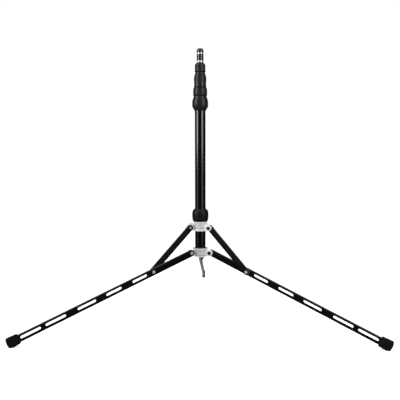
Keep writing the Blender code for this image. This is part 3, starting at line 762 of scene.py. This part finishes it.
@dataclass
class Column:
    """The five nested tubes, and the plug under them."""

    wall: float = 1.0 * MM
    lip: float = 0.25 * MM

    def build(self) -> None:
        """Build the tubes and the plug, and dress the bushes inside them."""
        for index, (body, radius) in enumerate(zip(SECTION_BODIES, TUBE_RADII)):
            node = "main_tube" if index == 0 else f"tube_{index + 1}"
            low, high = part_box(node)
            bore = radius - self.wall
            ring = [(radius, high.z), (radius, low.z), (bore, low.z), (bore, high.z)]
            tube = spun(eased(ring, self.lip), TUBE_SEGMENTS)
            finished(node + "_drawn", tube, ANODISED, body, [node])
        EndPlug(TUBE_RADII[0], TUBE_RADII[0] - self.wall).build()
        for body in SECTION_BODIES[1:]:
            dress(body.replace("section", "end_bush"), ACETAL)


@dataclass
class EndPlug:
    """The plug under the column: a dished floor with a rounded flange, and a skirt up into the bore."""

    flange: float
    bore: float
    gap: float = 0.15 * MM
    wall: float = 2.0 * MM
    floor: float = 3.2 * MM
    brim: float = 1.2 * MM
    dish: float = 0.5 * MM
    dish_mouth: float = 8.0 * MM
    dish_floor: float = 7.4 * MM
    ease: float = 0.5 * MM

    def build(self) -> None:
        """Build the plug from its solid's height."""
        low, high = (corner.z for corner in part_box("column_plug"))
        skirt = self.bore - self.gap
        inner = skirt - self.wall
        outline = [(0.0, low + self.floor), (inner, low + self.floor), (inner, high), (skirt, high),
                   (skirt, low + self.brim), (self.flange, low + self.brim), (self.flange, low),
                   (self.dish_mouth, low), (self.dish_floor, low + self.dish), (0.0, low + self.dish)]
        plug = spun(eased(outline, self.ease, closed=False), CAP_SEGMENTS, closed=False)
        finished("column_plug_moulded", plug, NYLON, "column", ["column_plug"])


@dataclass
class Stud:
    """The 5/8 inch stud: a rim, two turned grooves with a painted highlight, and a chamfered tip."""

    radius: float = 7.95 * MM
    rim: float = 8.8 * MM
    groove: float = 0.8 * MM
    score: float = 0.3 * MM
    chamfer: float = 1.9 * MM
    plug: float = 4.55 * MM
    ease: float = 0.35 * MM
    # Heights in mm above the seat where the grooves take the chrome's painted colour, a painted highlight
    painted_highlight_bands: tuple[tuple[float, float], ...] = ((2.2, 6.9), (21.4, 25.1))

    def build(self) -> None:
        """Build the stud from its solid's height; its steps are in mm above its seat."""
        low, high = (corner.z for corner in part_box("spigot"))
        full = self.radius
        waist = full - self.groove
        scored = full - self.score
        steps = [(0.0, self.rim), (2.0, self.rim), (2.5, waist), (6.2, waist), (7.0, full), (13.8, full),
                 (14.2, scored), (14.8, scored), (15.2, full), (21.2, full), (22.0, waist), (24.4, waist),
                 (25.2, full), (30.6, full), (34.2, full - self.chamfer)]
        seat = high - steps[-1][0] * MM
        outer = [(radius, seat + step * MM) for step, radius in steps]
        loop = [(0.0, low), (self.plug, low), (self.plug, seat), *outer, (0.0, high)]
        profile = eased(loop, self.ease, closed=False)
        step = (profile[:, 1] - seat) / MM
        mark = sum(((step > start) & (step < end)).astype(float) for start, end in self.painted_highlight_bands)
        stud = spun(profile, TUBE_SEGMENTS, mark, closed=False)
        finished("stud_turned", stud, CHROME, "section_5", ["spigot"])


@dataclass(frozen=True)
class Grip:
    """Relief moulded into a twist collar: broad lobes and fine ribs between two heights."""

    low: float
    high: float
    lobes: int = 6
    lobe_depth: float = 0.45 * MM
    ribs: int = 36
    rib_depth: float = 0.16 * MM
    fades: float = 6.0
    outer_wall: float = 5.6 * MM

    def pull(self, radius: np.ndarray, height: np.ndarray, angle: np.ndarray) -> np.ndarray:
        """Take the lobes' and ribs' waves off a radius, in the collar's outer wall only.

        The window rises from 0 to 1 over the first sixth of the gripped height and falls again over
        the last, and the waves are (1 - cos n a) / 2; the ribs' wave is sharpened by its square.

        Args:
            radius: the radius of each point.
            height: its height.
            angle: its angle.

        Returns:
            The new radius.
        """
        share = (height - self.low) / (self.high - self.low)
        window = np.clip(np.minimum(share, 1 - share) * self.fades, 0.0, 1.0)
        window = window * window * (3 - 2 * window)
        outside = radius > radius.max() - self.outer_wall
        lobe = 0.5 - 0.5 * np.cos(self.lobes * angle)
        rib = (0.5 - 0.5 * np.cos(self.ribs * angle)) ** 2
        return radius - outside * window * (self.lobe_depth * lobe + self.rib_depth * rib)


def collar(knots: Sequence[tuple[float, float]], samples: int, ends: tuple[float, float],
           gripped: tuple[float, float], shade_bands: Sequence[tuple[float, float]], bore: np.ndarray) -> Shell:
    """Turn a moulded collar: a smooth curve through knots outside, a stepped bore inside, and its grip.

    Args:
        knots: (share of the height, radius in mm) pairs of the outside.
        samples: points along the outside.
        ends: the heights of its lower and upper end.
        gripped: the shares of the height between which the grip's relief is.
        shade_bands: pairs of shares between which the outside is painted darker as painted shade, as the
            whole bore is.
        bore: the bore's (r, z) rows, from the upper end down.

    Returns:
        The collar.
    """
    low, high = ends
    height = high - low
    share, radius = flowing(knots, samples).T
    outer = np.column_stack([radius * MM, low + share * height])
    painted_shade = sum(((share >= start) & (share <= end)).astype(float) for start, end in shade_bands)
    mark = np.concatenate([painted_shade, np.ones(len(bore))])
    grip = Grip(low + gripped[0] * height, low + gripped[1] * height)
    return spun(np.vstack([outer, bore]), COLLAR_SEGMENTS, mark, pull=grip.pull)


@dataclass
class TwistLock:
    """A twist collar of the column's stack over its slotted sleeve.

    Its knots are (share of the height, radius in mm), its grip is between two shares of the height,
    and its ends are painted near black over the share that the joints to its neighbours take: painted
    shade in the gaps between the collars, as in its bore.
    """

    number: int
    knots: list[tuple[float, float]]
    gripped: tuple[float, float]
    samples: int = 56
    # Share of the height at each end painted near black as painted shade in the gap to the next collar
    joint: float = 0.04
    over_tube: float = 9.4 * MM
    chamber: float = 1.9 * MM
    gap: float = 0.4 * MM
    throat: float = 0.7 * MM
    throat_depth: float = 2.1 * MM
    roof_depth: float = 3.7 * MM
    sleeve: float = 5.4 * MM
    ease: float = 0.3 * MM

    @property
    def node(self) -> str:
        """The collar's node, which is also its body."""
        return f"lock_collar_{self.number}"

    def build(self) -> None:
        """Build the collar, and dress its sleeve."""
        tube = TUBE_RADII[-1 - self.number]
        inner = TUBE_RADII[-self.number]
        low, high = (corner.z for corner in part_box(self.node))
        shelf = high - self.over_tube - self.sleeve
        cavity = tube + self.chamber
        bore = eased([(inner + self.gap, high), (inner + self.throat, high - self.throat_depth),
                      (cavity, high - self.roof_depth), (cavity, shelf), (tube + self.gap, shelf),
                      (tube + self.gap, low)], self.ease, steps=2, closed=False)
        shell = collar(self.knots, self.samples, (low, high), self.gripped,
                       ((0.0, self.joint), (1 - self.joint, 1.0)), bore)
        finished(self.node + "_moulded", shell, SOFT_GRIP, self.node, [self.node])
        dress(f"lock_sleeve_{self.number}", ACETAL)


@dataclass
class SliderLock:
    """The slider's twist collar, with a stepped lower band, over its split collet.

    Its knots are (share of the height, radius in mm), and its band and grip are shares of the height.
    The band and the bore are painted darker and matt, as painted shade.
    """

    knots: list[tuple[float, float]]
    samples: int = 72
    # Share of the height at the bottom painted darker and matt as painted shade
    shaded_band: float = 0.16
    gripped: tuple[float, float] = (0.22, 0.90)
    gap: float = 0.4 * MM
    chamber: float = 2.1 * MM
    neck: float = 0.9 * MM
    step: float = 0.6 * MM
    cone: float = 1.8 * MM
    ease: float = 0.3 * MM

    def build(self) -> None:
        """Build the collar, and dress the collet."""
        low, high = (corner.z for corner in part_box("slider_collar"))
        collet_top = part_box("slider_collet")[1].z
        run = TUBE_RADII[0] + self.gap
        cavity = run + self.chamber
        bore = eased([(run, high), (run, collet_top + self.neck), (run + self.step, collet_top + self.step),
                      (cavity, collet_top - self.cone), (cavity, low)], self.ease, steps=2, closed=False)
        shell = collar(self.knots, self.samples, (low, high), self.gripped, ((0.0, self.shaded_band),), bore)
        finished("slider_collar_moulded", shell, NYLON, "slider_collar", ["slider_collar"])
        dress("slider_collet", ACETAL)


@dataclass
class Boss:
    """A round boss over an ear, with a raised ring and a sunk middle on its open face."""

    along: float = -5.6 * MM
    up: float = 8.0 * MM
    radius: float = 3.4 * MM
    ring: float = 2.4 * MM
    middle: float = 2.2 * MM
    sunk: float = 0.7 * MM
    front_inset: float = 0.5 * MM
    back_inset: float = 0.6 * MM
    ease: float = 0.35 * MM

    def shell(self, ear_faces: tuple[float, float]) -> Shell:
        """Draw the boss.

        Args:
            ear_faces: the faces of its ear, across the plate.

        Returns:
            The boss in its plate's axes.
        """
        low, high = ear_faces
        face = -low - self.front_inset
        back = -high + self.back_inset
        profile = [(0.0, back), (self.radius, back), (self.radius, face), (self.ring, face),
                   (self.middle, face - self.sunk), (0.0, face - self.sunk)]
        turned = spun(eased(profile, self.ease, closed=False), PIN_SEGMENTS, closed=False)
        return turned.moved(Matrix.Translation((self.along, 0.0, self.up)) @ across(turned=True))


@dataclass
class Hub:
    """A cast hub: a turned body with grooves, and three ears that the bars turn on.

    Its profile's rows are (radius, height above the hinges) in mm, and its grooves' floors are painted
    darker as painted shade in the recesses.
    """

    node: str
    body: str
    hinge_z: float
    profile: list[tuple[float, float]]
    ear_faces: tuple[float, float]
    boss: Boss | None = None
    ear_radius: float = 7.0 * MM
    ear_ease: float = 0.9 * MM
    ear_root: float = 14.0 * MM
    corner: float = 0.3 * MM
    groove: float = 14.2 * MM
    groove_shade_reach: float = 0.25 * MM

    def build(self) -> None:
        """Build the body and the ears as one piece."""
        turned = eased([(radius * MM, self.hinge_z + step * MM) for radius, step in self.profile],
                       self.corner, steps=3)
        # Points on the grooves' floors take the casting's painted colour, a painted shade in the recesses
        groove = np.abs(turned[:, 0] - self.groove) < self.groove_shade_reach
        shell = spun(turned, HUB_SEGMENTS, groove.astype(float))
        for azimuth in AZIMUTHS:
            shell.join(self.ear().moved(plate_frame(azimuth, self.hinge_z)))
            if self.boss is not None:
                shell.join(self.boss.shell(self.ear_faces).moved(plate_frame(azimuth, self.hinge_z)))
        finished(self.node + "_cast", shell, CASTING, self.body, [self.node])

    def ear(self) -> Shell:
        """Draw an ear: a plate with a round end about the hinge, its root inside the hub.

        Returns:
            The ear in its plate's axes.
        """
        outline = Outline(self.ear_root - HINGE_RADIUS, self.ear_radius, self.ear_radius, self.corner,
                          self.ear_radius)
        return Bar(outline, self.ear_faces, (round_hole(0.0, PIN_HOLE),), self.ear_ease).shell()


@dataclass
class Pivot:
    """Turned hardware on the plates' cross axis."""

    pin: float = 2.4 * MM
    head: float = 3.7 * MM
    head_rim: float = 0.45
    dimple: float = 0.25 * MM
    dimple_fall: float = 4.0
    head_points: int = 12
    nut: float = 4.2 * MM
    flat_share: float = 0.92
    wall_share: float = 0.98
    nut_side: float = 2.1 * MM
    nut_height: float = 2.3 * MM
    dome: float = 1.3 * MM
    dome_share: float = 0.93
    dome_points: int = 10
    socket: float = 2.55 * MM
    socket_gap: float = 0.3 * MM

    def rivet(self, seat: float, rise: float, tip: float) -> Shell:
        """Draw a pin with a domed head above its seat.

        The head's profile is a low arc over a short rim, z = rise (s + (1 - s)(1 - (r/R)^2)) with s the
        rim's share, less a shallow dimple at the middle, d exp(-(4 r/R)^2).

        Args:
            seat: where the head sits, along z.
            rise: the head's height.
            tip: the pin's other end.

        Returns:
            The pin along +z.
        """
        r = np.linspace(0.0, 1.0, self.head_points)
        dome = seat + rise * (self.head_rim + (1 - self.head_rim) * (1 - r ** 2))
        dome -= self.dimple * np.exp(-(r * self.dimple_fall) ** 2)
        head = np.column_stack([r * self.head, dome])
        stem = [(self.head, seat), (self.pin, seat), (self.pin, tip), (0.0, tip)]
        return spun(np.vstack([head, stem]), PIN_SEGMENTS, closed=False)

    def cap_nut(self, seat: float, tip: float) -> Shell:
        """Draw a domed hexagon nut whose seat looks along +z, closed over the pin's tip.

        The hexagon's radius is apothem / cos(a'), where a' is the angle from its nearest flat.

        Args:
            seat: where the nut sits, along z.
            tip: the pin's end inside it.

        Returns:
            The nut along -z.
        """
        flat = self.nut * self.flat_share
        base = seat - self.nut_height

        def hexed(radius: np.ndarray, height: np.ndarray, angle: np.ndarray) -> np.ndarray:
            """Draw the outer wall between the seat and the dome out to a hexagon.

            Args:
                radius: the radius of each point.
                height: its height.
                angle: its angle.

            Returns:
                The new radius.
            """
            sector = np.mod(angle, TURN / 6) - TURN / 12
            wall = (radius > flat * self.wall_share) & (height > base)
            return np.where(wall, np.minimum(flat / np.cos(sector), self.nut), radius)

        r = np.linspace(1.0, 0.0, self.dome_points)
        dome = np.column_stack([flat * self.dome_share * r, base - self.dome * np.sqrt(1 - r ** 2)])
        end = tip - self.socket_gap
        wall = [(0.0, end), (self.socket, end), (self.socket, seat), (flat, seat),
                (flat, seat - self.nut_side)]
        return spun(np.vstack([wall, dome]), CAP_SEGMENTS, closed=False, pull=hexed)


@dataclass
class FootCap:
    """A rubber foot over a leg's end: flared, with a bulged end and a level pad, eased all round."""

    mouth_back: float = 18.4 * MM
    beyond: float = 5.5 * MM
    half: float = 10.1 * MM
    crown: float = 11.3 * MM
    crown_back: float = 1.4 * MM
    pad: float = 8.0 * MM
    pad_drop: float = 11.3 * MM
    bulge: float = 1.6 * MM
    bulge_points: int = 11
    corner: float = 1.2 * MM
    faces: tuple[float, float] = (0.8 * MM, 9.8 * MM)
    ease: float = 1.1 * MM

    def shell(self, length: float) -> Shell:
        """Draw the cap; its end bulges by the parabola 1 - (2t - 1)^2 from the pad to the crown.

        Args:
            length: the leg's length from its hinge.

        Returns:
            The cap in its leg's axes.
        """
        slope = np.array([math.cos(LEG_SLOPE), math.sin(LEG_SLOPE)])
        mouth = length - self.mouth_back
        nose = length + self.beyond
        pad_start = np.array([nose - self.pad * slope[0], -self.pad_drop])
        pad_end = pad_start + self.pad * slope
        t = np.linspace(0.0, 1.0, self.bulge_points + 2)[1:-1]
        end = np.column_stack([nose + self.bulge * (1 - (2 * t - 1) ** 2),
                               pad_end[1] + (self.half - pad_end[1]) * t])
        corners = np.vstack([[(mouth, -self.half)], [pad_start], [pad_end], end,
                             [(nose - self.crown_back, self.crown), (mouth, self.half)]])
        return lofted(eased(corners, self.corner), self.faces, self.ease)


@dataclass
class Leg:
    """A leg with its foot cap, its strut and the hardware of their three pivots."""

    number: int
    azimuth: float
    half: float = 7.75 * MM
    length: float = 433.0 * MM
    toe_round: float = 0.6 * MM
    slots: tuple[tuple[float, float], ...] = ((0.2764, 0.3614), (0.4226, 0.5097), (0.5651, 0.6644),
                                              (0.7245, 0.8284), (0.8515, 0.9515))
    slot_half: float = 3.1 * MM
    channel_half: float = 3.9 * MM
    channel_end: float = 20.4 * MM
    strut_half: float = 7.15 * MM
    strut_channel_half: float = 3.7 * MM
    pivot_clear: float = 7.0 * MM
    ease: float = 0.8 * MM
    depth: float = 0.9 * MM
    # Strength of the painted sheen along the bars' edges
    edge_sheen: float = 0.9
    seat_gap: float = 0.3 * MM
    head_rise: float = 1.2 * MM
    sunk_rise: float = 1.1 * MM
    pin_tail: float = 1.8 * MM
    pivot: Pivot = field(default_factory=Pivot)
    foot: FootCap = field(default_factory=FootCap)

    def build(self) -> None:
        """Build the leg and strut with all that they carry."""
        leg = f"leg_{self.number}"
        strut = f"strut_{self.number}"
        leg_frame = plate_frame(self.azimuth, LEG_HINGE_Z, LEG_SLOPE)
        strut_frame = plate_frame(self.azimuth, SLIDER_HINGE_Z, STRUT_SLOPE)
        finished(leg + "_bar", self.bar().moved(leg_frame), LEG_BLACK, leg, [leg])
        finished(f"foot_{self.number}_rubber", self.foot.shell(self.length).moved(leg_frame), RUBBER, leg,
                 [f"foot_cap_{self.number}"])
        finished(strut + "_bar", self.strut().moved(strut_frame), LEG_BLACK, strut, [strut])
        self.hinges()
        self.rivets(leg_frame, strut_frame)

    def bar(self) -> Shell:
        """Draw the leg: a bar with a round hinge end, channels in both faces and five slots.

        Returns:
            The leg in its own axes.
        """
        outline = Outline(-self.half, self.length, self.half, self.half, self.toe_round)
        channel = hole(LEG_JOINT + self.pivot_clear, self.length - self.channel_end, self.channel_half)
        slots = tuple(hole(start * self.length, end * self.length, self.slot_half)
                      for start, end in self.slots)
        return Bar(outline, LEG_FACES, (round_hole(0.0, PIN_HOLE), round_hole(LEG_JOINT, PIN_HOLE)),
                   self.ease, channel, slots, self.depth, self.edge_sheen).shell()

    def strut(self) -> Shell:
        """Draw the strut: a bar with two round ends and a channel in each face.

        Returns:
            The strut in its own axes.
        """
        outline = hole(-self.strut_half, STRUT_LENGTH + self.strut_half, self.strut_half)
        channel = hole(self.pivot_clear, STRUT_LENGTH - self.pivot_clear, self.strut_channel_half)
        return Bar(outline, STRUT_FACES, (round_hole(0.0, PIN_HOLE), round_hole(STRUT_LENGTH, PIN_HOLE)),
                   self.ease, channel, (), self.depth, self.edge_sheen).shell()

    def hinges(self) -> None:
        """Build the pin and nut on each ear; the leg's pin has a proud head, the strut's a sunk one."""
        proud = (LEG_FACES[1] + self.seat_gap, self.head_rise)
        sunk = (STRUT_FACES[1] - self.sunk_rise, self.sunk_rise)
        for bar, node, body, hinge_z, ear_faces, (seat, rise) in (
                ("leg", "leg", "column", LEG_HINGE_Z, LOWER_EAR_FACES, proud),
                ("strut", "slider", "slider", SLIDER_HINGE_Z, SLIDER_EAR_FACES, sunk)):
            place = plate_frame(self.azimuth, hinge_z) @ across()
            tip = ear_faces[0] - self.pin_tail
            pin = self.pivot.rivet(seat, rise, tip).moved(place)
            finished(f"{bar}_{self.number}_hinge_pin", pin, RIVET, body, [f"{node}_pin_{self.number}"])
            nut = self.pivot.cap_nut(ear_faces[0] - self.seat_gap, tip).moved(place)
            finished(f"{bar}_{self.number}_hinge_nut", nut, NYLON, body, [f"{node}_nut_{self.number}"])

    def rivets(self, leg_frame: Matrix, strut_frame: Matrix) -> None:
        """Build the rivet where the strut meets the leg, a head on the leg and a tail on the strut.

        Args:
            leg_frame: the leg's axes.
            strut_frame: the strut's axes.
        """
        head = self.pivot.rivet(LEG_FACES[1] + self.seat_gap, self.head_rise, LEG_FACES[0])
        finished(f"leg_{self.number}_rivet", head.moved(leg_frame @ across(LEG_JOINT)), RIVET,
                 f"leg_{self.number}", [f"joint_rivet_{self.number}"])
        tail = self.pivot.rivet(-STRUT_FACES[0] + self.seat_gap, self.head_rise, -STRUT_FACES[1])
        finished(f"strut_{self.number}_rivet", tail.moved(strut_frame @ across(STRUT_LENGTH, turned=True)),
                 RIVET, f"strut_{self.number}", [f"joint_tail_{self.number}"])


@dataclass
class Lamp:
    """A softbox: its place, what it looks at, its width, height and the brightness of its face."""

    name: str
    place: tuple[float, float, float]
    target: tuple[float, float, float]
    size: tuple[float, float]
    brightness: float

    def build(self) -> None:
        """Hang the lamp; its power is brightness times pi times its area."""
        data = bpy.data.lights.new(self.name, "AREA")
        data.shape = "RECTANGLE"
        data.size, data.size_y = self.size
        data.energy = self.brightness * math.pi * self.size[0] * self.size[1]
        lamp = bpy.data.objects.new(self.name, data)
        bpy.context.scene.collection.objects.link(lamp)
        lamp.location = self.place
        towards = Vector(self.target) - Vector(self.place)
        lamp.rotation_euler = towards.to_track_quat("-Z", "Y").to_euler()
        lamp.visible_camera = False


@dataclass
class Camera:
    """The camera, where the photograph's was: its turns in degrees, its lens and sensor in mm."""

    place: tuple[float, float, float] = (0.0448, -1.1993, 0.2181)
    turns: tuple[float, float, float] = (86.058, 0.086, 2.168)
    lens: float = 45.62
    sensor: float = 36.0
    near: float = 0.01

    def build(self) -> None:
        """Stand the camera."""
        data = bpy.data.cameras.new("camera")
        data.sensor_width = self.sensor
        data.lens = self.lens
        data.clip_start = self.near
        camera = bpy.data.objects.new("camera", data)
        bpy.context.scene.collection.objects.link(camera)
        camera.location = self.place
        camera.rotation_euler = [math.radians(turn) for turn in self.turns]
        bpy.context.scene.camera = camera


@dataclass
class Studio:
    """The floor, the white surround, the softboxes and the camera."""

    floor_z: float
    fill: float = 0.65
    front: float = 0.02
    sweep: float = 2.0
    tilt: float = -0.9
    horizon: tuple[float, float] = (1.10, 1.25)
    floor_reach: float = 1.1
    floor_back: float = 0.6
    floor_sides: int = 64
    floor_white: float = 0.86
    floor_glow: float = 0.5
    lamps: list[Lamp] = field(default_factory=lambda: [
        Lamp("left_strip", (-1.554, -0.761, 1.13), (0.0, 0.0, 0.80), (0.80, 1.6), 5.7),
        Lamp("right_strip", (1.302, -1.140, 1.13), (0.0, 0.0, 0.80), (0.95, 1.6), 3.2),
        Lamp("left_low", (-1.554, -0.761, -0.03), (0.0, 0.0, 0.0), (0.80, 0.72), 0.60),
        Lamp("right_low", (1.302, -1.140, -0.03), (0.0, 0.0, 0.0), (0.95, 0.72), 0.60),
        Lamp("overhead", (0.0, 0.2, 2.2), (0.0, 0.0, 0.0), (1.8, 1.8), 1.0),
    ])
    camera: Camera = field(default_factory=Camera)

    def build(self) -> None:
        """Set up the surround, the floor, the lamps and the camera."""
        self.surround()
        self.floor()
        for lamp in self.lamps:
            lamp.build()
        self.camera.build()
        bpy.context.scene.view_settings.view_transform = "Standard"

    def surround(self) -> None:
        """Make a world that is white to the eye, and to reflections only low down behind the stand.

        A reflection sees the sweep where y + tilt z is past the horizon, the front short of it, and a
        smooth step between. Everything else is lit by the fill.
        """
        world = bpy.data.worlds.new("surround")
        bpy.context.scene.world = world
        world.use_nodes = True
        world.node_tree.nodes.clear()
        graph = Graph(world.node_tree)
        path = graph.add("ShaderNodeLightPath").outputs
        place = graph.add("ShaderNodeTexCoord").outputs["Generated"]
        split = graph.add("ShaderNodeSeparateXYZ", Vector=place).outputs
        drop = graph.reckon("MULTIPLY_ADD", split["Z"], self.tilt, split["Y"])
        behind = graph.remap(drop, self.front, self.sweep, *self.horizon, "SMOOTHSTEP")
        mirrored = graph.reckon("ADD", path["Is Glossy Ray"], path["Is Transmission Ray"], clamp=True)
        level = graph.blend(mirrored, self.fill, behind, "FLOAT")
        seen = graph.blend(path["Is Camera Ray"], level, 1.0, "FLOAT")
        background = graph.add("ShaderNodeBackground", Color=WHITE, Strength=seen)
        graph.add("ShaderNodeOutputWorld", Surface=background.outputs[0])

    def floor(self) -> None:
        """Lay a white floor that keeps the stand's shadow and looks as bright as the surround."""
        angle = np.arange(self.floor_sides) * TURN / self.floor_sides
        disc = np.column_stack([self.floor_reach * np.cos(angle),
                                self.floor_back + self.floor_reach * np.sin(angle),
                                np.full(self.floor_sides, self.floor_z)])
        mesh = bpy.data.meshes.new("studio_floor")
        mesh.from_pydata(disc, [], [tuple(range(self.floor_sides))])
        material = bpy.data.materials.new("studio_white")
        material.use_nodes = True
        graph = Graph(material.node_tree)
        seen = graph.add("ShaderNodeLightPath").outputs["Is Camera Ray"]
        white = self.floor_white
        graph.feed(graph.shader, Base_Color=(white, white, white, 1.0), Roughness=1.0,
                   Specular_IOR_Level=0.0, Emission_Color=WHITE,
                   Emission_Strength=graph.reckon("MULTIPLY", seen, self.floor_glow))
        mesh.materials.append(material)
        floor = bpy.data.objects.new("studio_floor", mesh)
        bpy.context.scene.collection.objects.link(floor)
        floor.visible_glossy = False
        floor.visible_diffuse = False


LOCKS = [
    TwistLock(4, [(0.0, 13.2), (0.06, 14.2), (0.18, 17.0), (0.30, 18.4), (0.50, 18.6), (0.70, 18.1),
                  (0.80, 17.1), (0.90, 15.8), (1.0, 15.2)], (0.14, 0.86)),
    TwistLock(3, [(0.0, 15.5), (0.08, 16.0), (0.45, 16.4), (0.75, 16.1), (0.95, 15.8), (1.0, 15.2)],
              (0.08, 0.92)),
    TwistLock(2, [(0.0, 13.8), (0.03, 14.3), (0.18, 14.0), (0.35, 14.1), (0.58, 14.5), (0.70, 14.1),
                  (0.84, 12.5), (0.92, 11.6), (1.0, 11.4)], (0.30, 0.86)),
    TwistLock(1, [(0.0, 12.2), (0.05, 12.8), (0.12, 12.5), (0.50, 12.1), (0.92, 11.5), (1.0, 10.4)],
              (0.12, 0.90)),
]

SLIDER_LOCK = SliderLock([(0.0, 16.4), (0.05, 17.4), (0.14, 18.3), (0.17, 18.5), (0.42, 19.2),
                          (0.72, 18.7), (0.84, 17.7), (0.93, 14.8), (1.0, 13.5)])

LOWER_HUB = Hub("lower_hub", "column", LEG_HINGE_Z,
                [(12.8, 9.9), (18.4, 9.9), (18.4, 8.1), (15.6, 7.4), (15.6, 5.0), (14.2, 5.0),
                 (14.2, 4.0), (15.6, 4.0), (15.6, 1.9), (14.2, 1.9), (14.2, 0.9), (15.6, 0.9),
                 (15.6, -2.3), (14.2, -2.3), (14.2, -3.3), (15.6, -3.3), (15.5, -5.9), (14.2, -5.9),
                 (14.2, -6.9), (15.4, -6.9), (15.2, -9.0), (13.4, -10.9), (12.8, -10.9)],
                LOWER_EAR_FACES)

SLIDER_HUB = Hub("slider_hub", "slider", SLIDER_HINGE_Z,
                 [(12.9, 20.5), (14.7, 20.5), (14.7, 14.0), (16.0, 14.0), (16.0, 11.4), (15.4, 10.8),
                  (15.4, 6.9), (14.2, 6.9), (14.2, 5.9), (15.4, 5.9), (15.4, 2.2), (14.2, 2.2),
                  (14.2, 1.2), (15.4, 1.2), (15.4, -1.4), (14.2, -1.4), (14.2, -2.4), (15.4, -2.4),
                  (15.4, -4.6), (17.2, -5.4), (17.2, -8.0), (12.9, -8.0)],
                 SLIDER_EAR_FACES, Boss())


def main() -> None:
    """Build the stand from the column outwards, then the studio around it."""
    Column().build()
    Stud().build()
    for lock in LOCKS:
        lock.build()
    SLIDER_LOCK.build()
    LOWER_HUB.build()
    SLIDER_HUB.build()
    for number, azimuth in enumerate(AZIMUTHS, start=1):
        Leg(number, azimuth).build()
    Studio(floor_z=CAD_BOUNDS[0][2]).build()


if __name__ == "__main__":
    logging.basicConfig(level=logging.INFO)
    main()
